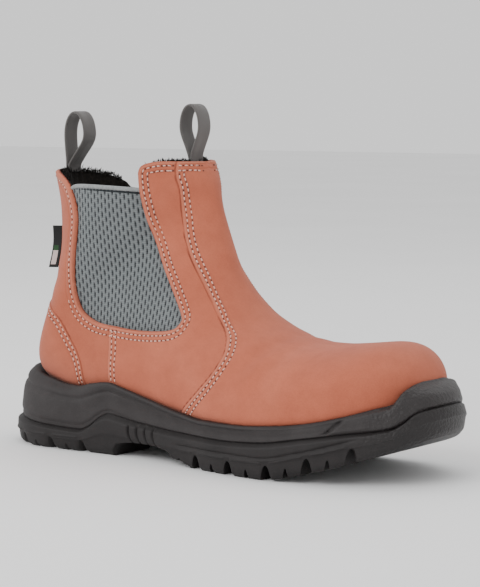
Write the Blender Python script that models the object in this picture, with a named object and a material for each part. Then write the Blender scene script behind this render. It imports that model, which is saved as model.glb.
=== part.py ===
"""Right side gore work boot: hollow leather upper, elastic gores, two-piece sole, insole, pull loops.

Metres, +Z up. The boot stands on z = 0 with its toe towards +X and its outer (lateral) side
towards -Y. The tables below measure x from the back of the heel; HEEL_X moves that point so that
the origin is the middle of the boot's footprint.
"""
import math
from collections import namedtuple

import bmesh
import bpy
import numpy as np

# Driving sizes
SOLE_LENGTH = 0.286
UPPER_TIP = 0.2685
WALL = 0.0018
PANEL_STEP = 0.0006
GAP = 0.0003
LAP = 0.0001
RIM = 0.0042
GORE_THICKNESS = 0.0014
GORE_OVERLAP = 0.007
INSOLE_THICKNESS = 0.004
INSOLE_STATIONS = 24
MARGIN = 0.011
OPENING_X = (0.036, 0.2485)
OPENING_STATIONS = 20
OPENING_DEPTH = 0.010
COLLAR_FRONT_Z = 0.1622
COLLAR_REAR_Z = 0.1555
PANEL_TOP_Z = 0.175
GORE_TOP_Z = 0.1490
WEBBING_WIDTH = 0.013
WEBBING_THICKNESS = 0.0015
TAG_HEIGHT = 0.0235
TAG_DEPTH = 0.007
TAG_THICKNESS = 0.0011
LUG_GAP = 0.0052
LUG_HEIGHT = 0.0095
HEEL_LUG_HEIGHT = 0.0068
GROOVE_DEPTH = 0.0045
LUG_RAMP = 0.004

# How far cutters reach past the boot, and where side-view areas end
SIDE_REACH = 0.1
CUT_REAR_X = -0.030
CUT_FRONT_X = 0.170
CUT_TOP_Z = 0.230
BEHIND_X = -0.010
BELOW_Z = -0.010
AREA_FRONT = [(0.278, 0.120), (0.150, PANEL_TOP_Z)]
BACKSTAY_FRONT_X = 0.058
SEARCH_STEPS = 40
HEEL_INSIDE_X = 0.060
TOE_INSIDE_X = 0.240
SHAFT_INSIDE_X = 0.075

# Where the footprint's middle lies
HEEL_X = -SOLE_LENGTH / 2
CENTRE_Y = 0.000975

# Facets of the lofted forms
RINGS_TOE = 7
RINGS_REST = 25
RING_SIDES = 26
SOLE_STATIONS = 43

# The last: each row is a slice through a point of the front profile and one of the sole or heel
# profile. wide is the share of the way from back to front where the slice is widest, ridge how far
# its middle lies towards the inner side, n_front and n_back how square its two ends are.
Section = namedtuple(
    "Section", "front_x front_z back_x back_z wide lateral medial ridge n_front n_back")
SECTIONS = [
    Section(0.2685, 0.0680, 0.2685, 0.0370, 0.36, 0.043, 0.040, 0.004, 2.4, 3.4),
    Section(0.2510, 0.0695, 0.2510, 0.0320, 0.34, 0.045, 0.0405, 0.004, 2.4, 3.6),
    Section(0.2310, 0.0670, 0.2310, 0.0272, 0.32, 0.047, 0.0405, 0.004, 2.4, 3.8),
    Section(0.2080, 0.0652, 0.2080, 0.0230, 0.32, 0.049, 0.0415, 0.003, 2.3, 3.9),
    Section(0.1870, 0.0680, 0.1860, 0.0212, 0.32, 0.050, 0.0420, 0.002, 2.2, 3.9),
    Section(0.1700, 0.0755, 0.1620, 0.0212, 0.32, 0.047, 0.041, 0.001, 2.1, 3.6),
    Section(0.1570, 0.0870, 0.1360, 0.0225, 0.31, 0.042, 0.037, 0.000, 2.0, 3.2),
    Section(0.1480, 0.0990, 0.1080, 0.0255, 0.30, 0.038, 0.034, 0.000, 2.0, 2.9),
    Section(0.1420, 0.1120, 0.0780, 0.0275, 0.28, 0.035, 0.032, 0.000, 2.0, 2.7),
    Section(0.1375, 0.1260, 0.0460, 0.0285, 0.27, 0.033, 0.031, 0.000, 2.0, 2.4),
    Section(0.1335, 0.1400, 0.0150, 0.0410, 0.28, 0.032, 0.031, 0.000, 2.0, 2.2),
    Section(0.1300, 0.1520, 0.0240, 0.0740, 0.36, 0.034, 0.034, 0.000, 2.1, 2.1),
    Section(0.1250, 0.1620, 0.0320, 0.1060, 0.44, 0.036, 0.036, 0.000, 2.1, 2.0),
    Section(0.1195, 0.1710, 0.0310, 0.1360, 0.48, 0.037, 0.037, 0.000, 2.1, 1.9),
    Section(0.1155, 0.1820, 0.0235, 0.1660, 0.50, 0.038, 0.038, 0.000, 2.1, 1.9),
    Section(0.1130, 0.1950, 0.0190, 0.1920, 0.50, 0.038, 0.038, 0.000, 2.1, 1.9),
]
TOE_CLOSE = 0.044
TOE_TOP_CLOSE = 0.028
TOE_POLE_Z = 0.045
TOE_PLAN_POWER = 2.3
TOE_TOP_POWER = 2.4
TOE_ROWS = 2.3

# The sole seen from above, before its two ends are rounded
Outline = namedtuple("Outline", "x lateral medial")
OUTLINE = [
    Outline(0.000, 0.0360, 0.0360),
    Outline(0.040, 0.0385, 0.0370),
    Outline(0.075, 0.0380, 0.0340),
    Outline(0.105, 0.0385, 0.0305),
    Outline(0.140, 0.0440, 0.0360),
    Outline(0.175, 0.0510, 0.0460),
    Outline(0.200, 0.0530, 0.0505),
    Outline(0.225, 0.0510, 0.0510),
    Outline(0.255, 0.0460, 0.0490),
    Outline(0.290, 0.0400, 0.0460),
]
HEEL_ROUND = 0.038
TOE_ROUND = 0.062
HEEL_POWER = 2.1
TOE_POWER = 2.2

# Heights along the sole: its underside, the line between outsole and midsole, and the cup's lip
Height = namedtuple("Height", "x z")
UNDERSIDE = [
    Height(0.000, 0.0000), Height(0.198, 0.0000), Height(0.221, 0.0045),
    Height(0.2434, 0.0107), Height(0.2638, 0.0173), Height(0.2790, 0.0235), Height(0.286, 0.0260),
]
PARTING = [
    Height(0.000, 0.0158), Height(0.014, 0.0152), Height(0.030, 0.0137), Height(0.050, 0.0125),
    Height(0.064, 0.0122), Height(0.071, 0.0148), Height(0.0775, 0.0196), Height(0.0850, 0.0228),
    Height(0.096, 0.0213), Height(0.107, 0.0196), Height(0.135, 0.0180), Height(0.168, 0.0176),
    Height(0.196, 0.0190), Height(0.225, 0.0236), Height(0.245, 0.0270), Height(0.266, 0.0302),
    Height(0.2723, 0.0342), Height(0.2770, 0.0390), Height(0.286, 0.0420),
]
LIP = [
    Height(0.008, 0.0440), Height(0.022, 0.0400), Height(0.038, 0.0372), Height(0.050, 0.0353),
    Height(0.060, 0.0352), Height(0.0720, 0.0377), Height(0.086, 0.0395), Height(0.095, 0.0377),
    Height(0.113, 0.0335), Height(0.139, 0.0282), Height(0.157, 0.0258), Height(0.181, 0.0260),
    Height(0.209, 0.0279), Height(0.2246, 0.0302), Height(0.2424, 0.0344), Height(0.2560, 0.0386),
    Height(0.2640, 0.0412), Height(0.2665, 0.0450), Height(0.2690, 0.0497), Height(0.2710, 0.0515),
]

# The walls of the sole: share is the way up the piece, lean how far the ring has moved from the
# sole's outline to the upper's own, outset how far the outline is let out
Wall = namedtuple("Wall", "share lean outset")
PARTING_OUTSET = -0.0030
OUTSOLE_WALL = [
    Wall(0.00, 0.00, -0.0036), Wall(0.13, 0.00, -0.0014), Wall(0.50, 0.00, -0.0002),
    Wall(0.54, 0.00, 0.0002), Wall(0.85, 0.00, 0.0000), Wall(1.00, 0.00, PARTING_OUTSET),
]
MIDSOLE_WALL = [
    Wall(0.00, 0.00, PARTING_OUTSET), Wall(0.10, 0.02, -0.0020), Wall(0.48, 0.12, -0.0024),
    Wall(0.80, 0.48, -0.0024), Wall(1.00, 1.00, 0.0000),
]

# Gore windows seen from the outer side, from the rear tab down, forward and up to the front tab
Spot = namedtuple("Spot", "x z")
WINDOW = [
    Spot(0.0545, 0.1470), Spot(0.0595, 0.1385), Spot(0.0612, 0.1290), Spot(0.0600, 0.1183),
    Spot(0.0587, 0.1070), Spot(0.0586, 0.0959), Spot(0.0596, 0.0869), Spot(0.0632, 0.0782),
    Spot(0.0737, 0.0727), Spot(0.0880, 0.0712), Spot(0.1034, 0.0703), Spot(0.1189, 0.0708),
    Spot(0.1288, 0.0725), Spot(0.1325, 0.0759), Spot(0.1321, 0.0797), Spot(0.1218, 0.0943),
    Spot(0.1150, 0.1050), Spot(0.1094, 0.1169), Spot(0.1058, 0.1281), Spot(0.1035, 0.1440),
    Spot(0.1028, 0.1540),
]
FRONT_TAB = [
    Spot(0.1028, 0.1560), Spot(0.1034, 0.1583), Spot(0.1049, 0.1601), Spot(0.1083, 0.1614),
    Spot(0.1130, COLLAR_FRONT_Z), Spot(0.1200, COLLAR_FRONT_Z),
]
REAR_TAB = [
    Spot(0.0200, COLLAR_REAR_Z), Spot(0.0330, COLLAR_REAR_Z), Spot(0.0420, 0.1535),
    Spot(0.0490, 0.1510),
]
MEDIAL_REAR_SHIFT = -0.012
SHIFT_FADES = (0.056, 0.082)
SHIFT_RISES = (0.075, 0.105)

# Panel edges seen from the side
VAMP_EDGE = [
    Spot(0.1185, PANEL_TOP_Z), Spot(0.1195, 0.1557), Spot(0.1215, 0.1465), Spot(0.1221, 0.1340),
    Spot(0.1241, 0.1232), Spot(0.1278, 0.1136), Spot(0.1322, 0.1063), Spot(0.1380, 0.0984),
    Spot(0.1451, 0.0892), Spot(0.1546, 0.0783), Spot(0.1604, 0.0725), Spot(0.1640, 0.0677),
    Spot(0.1660, 0.0601), Spot(0.1612, 0.0502), Spot(0.1495, 0.0381), Spot(0.1380, 0.0279),
    Spot(0.1290, 0.0200),
]
QUARTER_EDGE_X = 0.0838
COUNTER_EDGE = [
    Spot(0.0150, 0.0900), Spot(0.0350, 0.0813), Spot(0.0466, 0.0744), Spot(0.0525, 0.0668),
    Spot(0.0567, 0.0612), Spot(0.0613, 0.0545), Spot(0.0639, 0.0454), Spot(0.0625, 0.0300),
]
BACKSTAY_HALF = 0.017

# Gaps between lugs, and the slanted ribs of the arch
HEEL_GAPS = (0.0215, 0.0440, 0.0665)
FOREFOOT_GAPS = (0.1530, 0.1775, 0.2030, 0.2270, 0.2500)
LUG_REACH = 0.015
CHANNEL_HALF = 0.003
CHANNEL_X = (0.012, 0.262)
CHANNEL_DEPTH = 0.0036
CHANNEL_STATIONS = 26
ARCH = [
    Spot(0.0870, -0.010), Spot(0.0895, 0.0045), Spot(0.0945, 0.0077), Spot(0.1066, 0.0089),
    Spot(0.1190, 0.0088), Spot(0.1300, 0.0074), Spot(0.1345, 0.0042), Spot(0.1455, 0.0016),
    Spot(0.1480, -0.010),
]
RIB_GROOVES = (0.1010, 0.1070, 0.1130, 0.1190)
RIB_GROOVE = (0.0018, 0.0030, 0.0075)
RIB_SLANT = math.radians(28)
RIB_Z = 0.0142

# Pull loops: where the webbing leaves the collar, its widest span, its top, and whether it is sewn
# to the rear (-1) or front (1) of the collar
Loop = namedtuple("Loop", "name base_z middle_x span top_z tail lean")
LOOPS = [
    Loop("pull_loop_rear", 0.1565, 0.0362, 0.0157, 0.1890, 0.016, -1),
    Loop("pull_loop_front", 0.1630, 0.1186, 0.0142, 0.1932, 0.016, 1),
]
LOOP_WAIST = 0.60
LOOP_STEPS = 7
TAG_X = 0.0365
TAG_Z = 0.1125
TAG_HEADING = math.radians(200)

LEATHER = ("nubuck_leather", (0.52, 0.21, 0.14), 0.85)
ELASTIC = ("gore_elastic", (0.17, 0.19, 0.19), 0.8)
RUBBER = ("outsole_rubber", (0.035, 0.032, 0.032), 0.7)
FOAM = ("midsole_foam", (0.045, 0.042, 0.042), 0.65)
TEXTILE = ("insole_textile", (0.02, 0.02, 0.02), 0.95)
WEBBING = ("loop_webbing", (0.20, 0.185, 0.18), 0.85)
TAG_WEAVE = ("tag_weave", (0.02, 0.03, 0.025), 0.8)


def cubic(rows, where, knots):
    """Smooth curve through rows at knots, with slopes that never overshoot a step."""
    rows = np.asarray(rows, float)
    where = np.clip(np.asarray(where, float), knots[0], knots[-1])
    index = np.clip(np.searchsorted(knots, where, side="right") - 1, 0, len(knots) - 2)
    width = np.diff(knots)[:, None]
    steps = np.diff(rows, axis=0) / width
    slopes = np.empty_like(rows)
    slopes[0] = steps[0]
    slopes[-1] = steps[-1]
    product = steps[:-1] * steps[1:]
    total = steps[:-1] + steps[1:]
    slopes[1:-1] = np.where(product > 0, 2 * product / np.where(total == 0, 1, total), 0)
    span = width[index]
    f = ((where - knots[index]) / span[..., 0])[..., None]
    start, end = rows[index], rows[index + 1]
    return ((2 * f**3 - 3 * f**2 + 1) * start + (f**3 - 2 * f**2 + f) * span * slopes[index]
            + (3 * f**2 - 2 * f**3) * end + (f**3 - f**2) * span * slopes[index + 1])


def along(table, x, column=1):
    """The named column of a table whose first column is x."""
    knots = np.array([row[0] for row in table])
    values = np.array([[row[column]] for row in table])
    return cubic(values, x, knots)[..., 0]


def smooth_rows(s):
    """The last's section at row number s, by a cubic through its neighbours."""
    rows = np.asarray(SECTIONS, float)
    s = np.clip(np.asarray(s, float), 0, len(rows) - 1)
    index = np.minimum(s.astype(int), len(rows) - 2)
    f = (s - index)[..., None]
    slopes = np.gradient(rows, axis=0)
    return ((2 * f**3 - 3 * f**2 + 1) * rows[index] + (f**3 - 2 * f**2 + f) * slopes[index]
            + (3 * f**2 - 2 * f**3) * rows[index + 1] + (f**3 - f**2) * slopes[index + 1])


def rounding(x, start, end, power):
    """1 up to start, then down to 0 at end along a superellipse."""
    share = np.clip((x - start) / (end - start), 0, 1)
    return (1 - share**power) ** (1 / power)


def slices(s, grow):
    """Front point, back point and proportions of each slice, let out by grow."""
    row = smooth_rows(s)
    front = row[..., 0:2].copy()
    back = row[..., 2:4].copy()
    stretch = np.clip((front[..., 0] - UPPER_TIP + TOE_CLOSE) / TOE_CLOSE, 0, None)
    plan = rounding(front[..., 0], UPPER_TIP - TOE_CLOSE, UPPER_TIP, TOE_PLAN_POWER)
    height = rounding(front[..., 0], UPPER_TIP - TOE_TOP_CLOSE, UPPER_TIP, TOE_TOP_POWER)
    axis = front - back
    unit = axis / np.linalg.norm(axis, axis=-1)[..., None]
    front += unit * grow
    back -= unit * grow
    front[..., 0] += stretch * grow
    back[..., 0] += stretch * grow
    front[..., 1] = TOE_POLE_Z + (front[..., 1] - TOE_POLE_Z) * height
    back[..., 1] = TOE_POLE_Z + (back[..., 1] - TOE_POLE_Z) * height
    return front, back, row[..., 4], (row[..., 5] + grow) * plan, (row[..., 6] + grow) * plan, row


def form_rings(s, angles, grow):
    """Points of the last, let out by grow: one ring for each slice, lateral side first."""
    front, back, wide, lateral, medial, row = slices(s, grow)
    axis = front - back
    length = np.linalg.norm(axis, axis=-1)
    unit = axis / np.maximum(length, 1e-9)[:, None]
    middle = back + axis * wide[:, None]
    cosine = np.cos(angles)[None]
    sine = np.sin(angles)[None]
    ahead = cosine >= 0
    power = np.where(ahead, row[:, 8:9], row[:, 9:10])
    reach = np.where(ahead, (length * (1 - wide))[:, None], (length * wide)[:, None])
    along_axis = reach * np.sign(cosine) * np.abs(cosine) ** (2 / power)
    side = np.where(sine > 0, -lateral[:, None], medial[:, None]) * np.abs(sine) ** (2 / power)
    x = middle[:, 0:1] + unit[:, 0:1] * along_axis
    z = middle[:, 1:2] + unit[:, 1:2] * along_axis
    return np.stack([x, side + row[:, 7:8], z], axis=2)


def reach_across(x, z, grow):
    """Lateral and medial y of the let-out last above the point (x, z), and the slice's fill."""
    x = np.asarray(x, float)
    z = np.asarray(z, float)
    low = np.zeros_like(x)
    high = np.full_like(x, len(SECTIONS) - 1.0)
    for _ in range(SEARCH_STEPS):
        s = (low + high) / 2
        front, back = slices(s, grow)[:2]
        axis = front - back
        cross = axis[..., 0] * (z - back[..., 1]) - axis[..., 1] * (x - back[..., 0])
        low = np.where(cross > 0, s, low)
        high = np.where(cross > 0, high, s)
    front, back, wide, lateral, medial, row = slices((low + high) / 2, grow)
    axis = front - back
    length = np.maximum(np.linalg.norm(axis, axis=-1), 1e-9)
    share = ((x - back[..., 0]) * axis[..., 0] + (z - back[..., 1]) * axis[..., 1]) / length**2
    ahead = share >= wide
    fill = np.where(ahead, (share - wide) / (1 - wide), (wide - share) / wide)
    power = np.where(ahead, row[..., 8], row[..., 9])
    width = (1 - np.clip(fill, 0, 1) ** power) ** (1 / power)
    return row[..., 7] - lateral * width, row[..., 7] + medial * width, fill


def lip_end(inside, outside):
    """Where the cup's lip leaves the let-out last, going from inside to outside."""
    for _ in range(SEARCH_STEPS):
        middle = (inside + outside) / 2
        fill = reach_across(middle, along(LIP, middle), RIM)[2]
        if fill < 1:
            inside = middle
        else:
            outside = middle
    return inside


def stations():
    """Shares of the way from heel to toe, close together at both ends."""
    return 0.5 - 0.5 * np.cos(np.linspace(0, math.pi, SOLE_STATIONS))


def outline_ring(outset):
    """x, lateral y and medial y of the sole's outline, let out by outset."""
    x = -outset + (SOLE_LENGTH + 2 * outset) * stations()
    ends = rounding(-x, -HEEL_ROUND, outset, HEEL_POWER)
    ends = ends * rounding(x, SOLE_LENGTH - TOE_ROUND, SOLE_LENGTH + outset, TOE_POWER)
    return x, -(along(OUTLINE, x, 1) + outset) * ends, (along(OUTLINE, x, 2) + outset) * ends


def lip_ring():
    """x, lateral y and medial y of the cup's lip, just outside the upper."""
    start = lip_end(HEEL_INSIDE_X, BEHIND_X)
    end = lip_end(TOE_INSIDE_X, SOLE_LENGTH)
    x = start + (end - start) * stations()
    lateral, medial, _ = reach_across(x, along(LIP, x), RIM)
    return x, lateral, medial


def to_mesh(name, bm):
    """A mesh object of bm, moved so that the footprint's middle is the origin."""
    bmesh.ops.translate(bm, verts=bm.verts, vec=(HEEL_X, CENTRE_Y, 0))
    bmesh.ops.recalc_face_normals(bm, faces=bm.faces)
    mesh = bpy.data.meshes.new(name)
    bm.to_mesh(mesh)
    bm.free()
    return bpy.data.objects.new(name, mesh)


def quads(bm, first, second):
    """Faces between two closed rings of vertices."""
    count = len(first)
    for i in range(count):
        j = (i + 1) % count
        bm.faces.new((first[i], first[j], second[j], second[i]))


def triangles(bm, first, second):
    """The same with every face split along one diagonal, so that let-out forms never cross."""
    count = len(first)
    for i in range(count):
        j = (i + 1) % count
        bm.faces.new((first[i], first[j], second[j]))
        bm.faces.new((first[i], second[j], second[i]))


def form(name, grow):
    """The last let out by grow as a closed solid, from the toe's tip to above the collar."""
    toe = TOE_ROWS * (1 - np.cos(np.linspace(0, math.pi / 2, RINGS_TOE + 1)))
    rest = np.linspace(TOE_ROWS, len(SECTIONS) - 1, RINGS_REST + 1)[1:]
    angles = (np.arange(RING_SIDES) + 0.5) * 2 * math.pi / RING_SIDES
    rings = form_rings(np.concatenate([toe, rest]), angles, grow)
    bm = bmesh.new()
    tip = bm.verts.new(rings[0].mean(axis=0))
    loops = [[bm.verts.new(point) for point in ring] for ring in rings[1:]]
    for i in range(RING_SIDES):
        bm.faces.new((tip, loops[0][i], loops[0][(i + 1) % RING_SIDES]))
    for first, second in zip(loops, loops[1:]):
        triangles(bm, first, second)
    bm.faces.new(loops[-1])
    return to_mesh(name, bm)


def sole_block(name, walls, bottom, top, drop):
    """A closed block of rings between two height tables; drop lowers its top."""
    upper_ring = lip_ring()
    bm = bmesh.new()
    loops = []
    for wall in walls:
        plain = outline_ring(wall.outset)
        x, lateral, medial = (p + wall.lean * (q - p) for p, q in zip(plain, upper_ring))
        low = along(bottom, x)
        z = low + wall.share * (along(top, x) - drop - low)
        left = [bm.verts.new(point) for point in zip(x, lateral, z)]
        right = [bm.verts.new(point) for point in zip(x[1:-1], medial[1:-1], z[1:-1])]
        loops.append((left, right))
    for (left, right), (left_up, right_up) in zip(loops, loops[1:]):
        quads(bm, left + right[::-1], left_up + right_up[::-1])
    for left, right in (loops[0], loops[-1]):
        bm.faces.new((left[0], left[1], right[0]))
        for i in range(1, len(left) - 2):
            bm.faces.new((left[i], left[i + 1], right[i], right[i - 1]))
        bm.faces.new((left[-2], left[-1], right[-1]))
    return to_mesh(name, bm)


def prism(name, outline, near, far):
    """A side-view outline of (x, z) points as a solid from y = near to y = far."""
    bm = bmesh.new()
    face = bm.faces.new([bm.verts.new((x, near, z)) for x, z in outline])
    swept = bmesh.ops.extrude_face_region(bm, geom=[face])
    moved = [item for item in swept["geom"] if isinstance(item, bmesh.types.BMVert)]
    bmesh.ops.translate(bm, verts=moved, vec=(0, far - near, 0))
    return to_mesh(name, bm)


def smooth_path(spots, steps=2):
    """A curve through the spots, with steps points for each of them."""
    points = np.asarray(spots, float)
    slopes = np.gradient(points, axis=0)
    path = []
    for i in range(len(points) - 1):
        for f in np.arange(steps) / steps:
            path.append((2 * f**3 - 3 * f**2 + 1) * points[i] + (f**3 - 2 * f**2 + f) * slopes[i]
                        + (3 * f**2 - 2 * f**3) * points[i + 1] + (f**3 - f**2) * slopes[i + 1])
    path.append(points[-1])
    return [tuple(point) for point in path]


def rear_shift(spots):
    """The same outline for the inner side, whose rear tab is narrower."""
    start, end = SHIFT_FADES
    low, high = SHIFT_RISES
    moved = []
    for x, z in spots:
        share = min(max((end - x) / (end - start), 0), 1)
        share *= min(max((z - low) / (high - low), 0), 1)
        moved.append((x + MEDIAL_REAR_SHIFT * share, z))
    return moved


def link(obj, collection, material=None):
    """Puts the object in its collection, with its material."""
    collection.objects.link(obj)
    if material:
        obj.data.materials.append(material)
    return obj


def combine(obj, other, operation, guides):
    """Adds a Boolean modifier to obj and keeps the other solid among the guides."""
    if other.name not in guides.objects:
        link(other, guides)
        other.hide_render = True
        other.display_type = "WIRE"
    modifier = obj.modifiers.new(operation.lower(), "BOOLEAN")
    modifier.operation = operation
    modifier.solver = "EXACT"
    modifier.object = other
    return obj


def make_material(name, colour, roughness):
    """A plain Principled material."""
    material = bpy.data.materials.new(name)
    material.use_nodes = True
    shader = material.node_tree.nodes["Principled BSDF"]
    shader.inputs["Base Color"].default_value = (*colour, 1)
    shader.inputs["Roughness"].default_value = roughness
    shader.inputs["Metallic"].default_value = 0
    return material


def rim_height(x):
    """Height at which a raised panel clears the cup's rim, whose stations it shares."""
    rim = lip_ring()[0]
    return np.interp(x, rim, along(LIP, rim)) + 2 * GAP


def above_lip(start, end):
    """The lower edge of a raised panel, from start to end along the cup's rim."""
    rim = lip_ring()[0]
    inside = rim[(rim > min(start, end)) & (rim < max(start, end))]
    x = np.concatenate([[min(start, end)], inside, [max(start, end)]])
    edge = list(zip(x, rim_height(x)))
    return edge if start < end else edge[::-1]


def panels(guides):
    """The leather's raised pieces: quarters and counter one step out, vamp and backstay two."""
    quarter = form("quarter_form", PANEL_STEP)
    lip = above_lip(QUARTER_EDGE_X, AREA_FRONT[0][0])
    outline = lip + AREA_FRONT + [(QUARTER_EDGE_X, PANEL_TOP_Z)]
    combine(quarter, prism("quarter_area", outline, -SIDE_REACH, SIDE_REACH), "INTERSECT", guides)

    counter = form("counter_form", PANEL_STEP)
    edge = smooth_path(COUNTER_EDGE)
    edge = [spot for spot in edge if spot[1] > rim_height(spot[0]) + GAP]
    lip = above_lip(edge[-1][0], BEHIND_X)
    outline = edge + lip + [(BEHIND_X, COUNTER_EDGE[0].z)]
    combine(counter, prism("counter_area", outline, -SIDE_REACH, SIDE_REACH), "INTERSECT", guides)

    vamp = form("vamp_form", 2 * PANEL_STEP)
    edge = smooth_path(VAMP_EDGE)
    edge = [spot for spot in edge if spot[1] > rim_height(spot[0]) + GAP]
    lip = above_lip(edge[-1][0], AREA_FRONT[0][0])
    outline = edge + lip + AREA_FRONT
    combine(vamp, prism("vamp_area", outline, -SIDE_REACH, SIDE_REACH), "INTERSECT", guides)

    backstay = form("backstay_form", 2 * PANEL_STEP)
    lip = above_lip(BACKSTAY_FRONT_X, BEHIND_X)
    outline = lip + [(BEHIND_X, PANEL_TOP_Z), (BACKSTAY_FRONT_X, PANEL_TOP_Z)]
    strip = prism("backstay_area", outline, -BACKSTAY_HALF, BACKSTAY_HALF)
    combine(backstay, strip, "INTERSECT", guides)
    return [quarter, counter, vamp, backstay]


def collar_cutters():
    """What is cut away above the collar and in the two gore windows."""
    outline = smooth_path(REAR_TAB + WINDOW + FRONT_TAB)
    rear = [(CUT_REAR_X, CUT_TOP_Z), (CUT_REAR_X, COLLAR_REAR_Z)]
    front = [(CUT_FRONT_X, COLLAR_FRONT_Z), (CUT_FRONT_X, CUT_TOP_Z)]
    lateral = prism("window_lateral", rear + outline + front, -SIDE_REACH, LAP)
    medial = prism("window_medial", rear + rear_shift(outline) + front, -LAP, SIDE_REACH)
    return lateral, medial


def underside_cutter():
    """The opening underneath the upper: the last's outline less the lasting margin."""
    x = np.linspace(*OPENING_X, OPENING_STATIONS)
    floor = under_profile(x)
    lateral, medial, _ = reach_across(x, floor + MARGIN, 0)
    lateral = lateral + MARGIN
    medial = medial - MARGIN
    bm = bmesh.new()
    plan = list(zip(x, lateral, floor)) + list(zip(x[::-1], medial[::-1], floor[::-1]))
    low = [bm.verts.new((a, b, c - OPENING_DEPTH)) for a, b, c in plan]
    high = [bm.verts.new((a, b, c + 2 * WALL)) for a, b, c in plan]
    quads(bm, low, high)
    count = len(x)
    for ring in (low, high):
        for i in range(count - 1):
            bm.faces.new((ring[i], ring[i + 1], ring[-2 - i], ring[-1 - i]))
    return to_mesh("underside_opening", bm)


def under_profile(x):
    """Height of the last's underside along the foot."""
    s = np.linspace(0, 9.4, 60)
    back = slices(s, 0)[1][::-1]
    return np.interp(x, back[:, 0], back[:, 1])


def make_upper(guides):
    """The leather: the last with its raised panels, less its inside, windows and underside."""
    upper = form("upper", 0)
    for panel in panels(guides):
        combine(upper, panel, "UNION", guides)
    for cutter in collar_cutters():
        combine(upper, cutter, "DIFFERENCE", guides)
    combine(upper, form("upper_inside", -WALL), "DIFFERENCE", guides)
    return combine(upper, underside_cutter(), "DIFFERENCE", guides)


def gore_outline(spots):
    """The gore's own outline: its window let out all round under the leather."""
    points = np.asarray(smooth_path(spots), float)
    tangent = np.gradient(points, axis=0)
    normal = np.stack([tangent[:, 1], -tangent[:, 0]], axis=1)
    normal /= np.linalg.norm(normal, axis=1)[:, None]
    points = points + normal * GORE_OVERLAP
    points = [tuple(point) for point in points if point[1] < GORE_TOP_Z]
    return [(points[0][0], GORE_TOP_Z)] + points + [(points[-1][0], GORE_TOP_Z)]


def make_gore(name, near, far, spots, guides):
    """One elastic gore, a thin piece just inside the leather."""
    gore = form(name, -WALL - GAP)
    combine(gore, prism(name + "_area", gore_outline(spots), near, far), "INTERSECT", guides)
    return combine(gore, form(name + "_inside", -WALL - GAP - GORE_THICKNESS), "DIFFERENCE", guides)


def make_insole(guides):
    """The insole: the foot of the last's inside, up to its own top face."""
    insole = form("insole", -WALL - GAP)
    x = np.linspace(0.0, UPPER_TIP, INSOLE_STATIONS)
    top = under_profile(x) + WALL + GAP + INSOLE_THICKNESS
    outline = [(x[0], BELOW_Z)] + list(zip(x, top)) + [(x[-1], BELOW_Z)]
    return combine(insole, prism("insole_area", outline, -SIDE_REACH, SIDE_REACH), "INTERSECT", guides)


def make_midsole(guides):
    """The cup: block between the parting line and the lip, less the upper."""
    midsole = sole_block("midsole", MIDSOLE_WALL, PARTING, LIP, 0)
    return combine(midsole, form("cup_inside", GAP), "DIFFERENCE", guides)


def gap_cutter(bm, x, height):
    """One gap between lugs: deep at both sides, shallow across the middle."""
    low = float(along(UNDERSIDE, x))
    lateral = float(along(OUTLINE, x, 1)) - LUG_REACH
    medial = float(along(OUTLINE, x, 2)) - LUG_REACH
    bottom = low + 2 * BELOW_Z
    profile = [
        (-SIDE_REACH, bottom), (-SIDE_REACH, low + height), (-lateral, low + height),
        (-lateral + LUG_RAMP, low + GROOVE_DEPTH), (medial - LUG_RAMP, low + GROOVE_DEPTH),
        (medial, low + height), (SIDE_REACH, low + height), (SIDE_REACH, bottom),
    ]
    rings = []
    for side in (-LUG_GAP / 2, LUG_GAP / 2):
        rings.append([bm.verts.new((x + side, y, z)) for y, z in profile])
    quads(bm, rings[0], rings[1])
    for ring in rings:
        bm.faces.new(ring)


def rib_cutters():
    """Slanted grooves that leave the ribs of the arch on both sides."""
    bm = bmesh.new()
    width, depth, half = RIB_GROOVE
    for x in RIB_GROOVES:
        for side, column in ((-1, 1), (1, 2)):
            y = side * float(along(OUTLINE, x, column))
            corners = []
            for up in (-half, half):
                for step in (-width / 2, width / 2):
                    shift = step + up * math.sin(RIB_SLANT)
                    corners.append((x + shift, RIB_Z + up * math.cos(RIB_SLANT)))
            order = (corners[0], corners[1], corners[3], corners[2])
            inner = [bm.verts.new((a, y - side * depth / 2, b)) for a, b in order]
            outer = [bm.verts.new((a, y + side * SIDE_REACH, b)) for a, b in order]
            quads(bm, inner, outer)
            bm.faces.new(inner)
            bm.faces.new(outer)
    return to_mesh("rib_grooves", bm)


def lug_cutters():
    """All gaps between the lugs of heel and forefoot."""
    bm = bmesh.new()
    for x in HEEL_GAPS:
        gap_cutter(bm, x, HEEL_LUG_HEIGHT)
    for x in FOREFOOT_GAPS:
        gap_cutter(bm, x, LUG_HEIGHT)
    return to_mesh("lug_gaps", bm)


def channel_cutter():
    """The shallow channel along the middle of the tread."""
    x = np.linspace(*CHANNEL_X, CHANNEL_STATIONS)
    low = along(UNDERSIDE, x)
    outline = list(zip(x, low + CHANNEL_DEPTH)) + list(zip(x[::-1], low[::-1] + 2 * BELOW_Z))
    return prism("tread_channel", outline, -CHANNEL_HALF, CHANNEL_HALF)


def make_outsole(guides):
    """The outsole: block under the parting line, less its arch, lug gaps and grooves."""
    outsole = sole_block("outsole", OUTSOLE_WALL, UNDERSIDE, PARTING, GAP)
    combine(outsole, rib_cutters(), "DIFFERENCE", guides)
    combine(outsole, prism("arch_recess", smooth_path(ARCH), -SIDE_REACH, SIDE_REACH), "DIFFERENCE", guides)
    combine(outsole, lug_cutters(), "DIFFERENCE", guides)
    return combine(outsole, channel_cutter(), "DIFFERENCE", guides)


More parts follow.
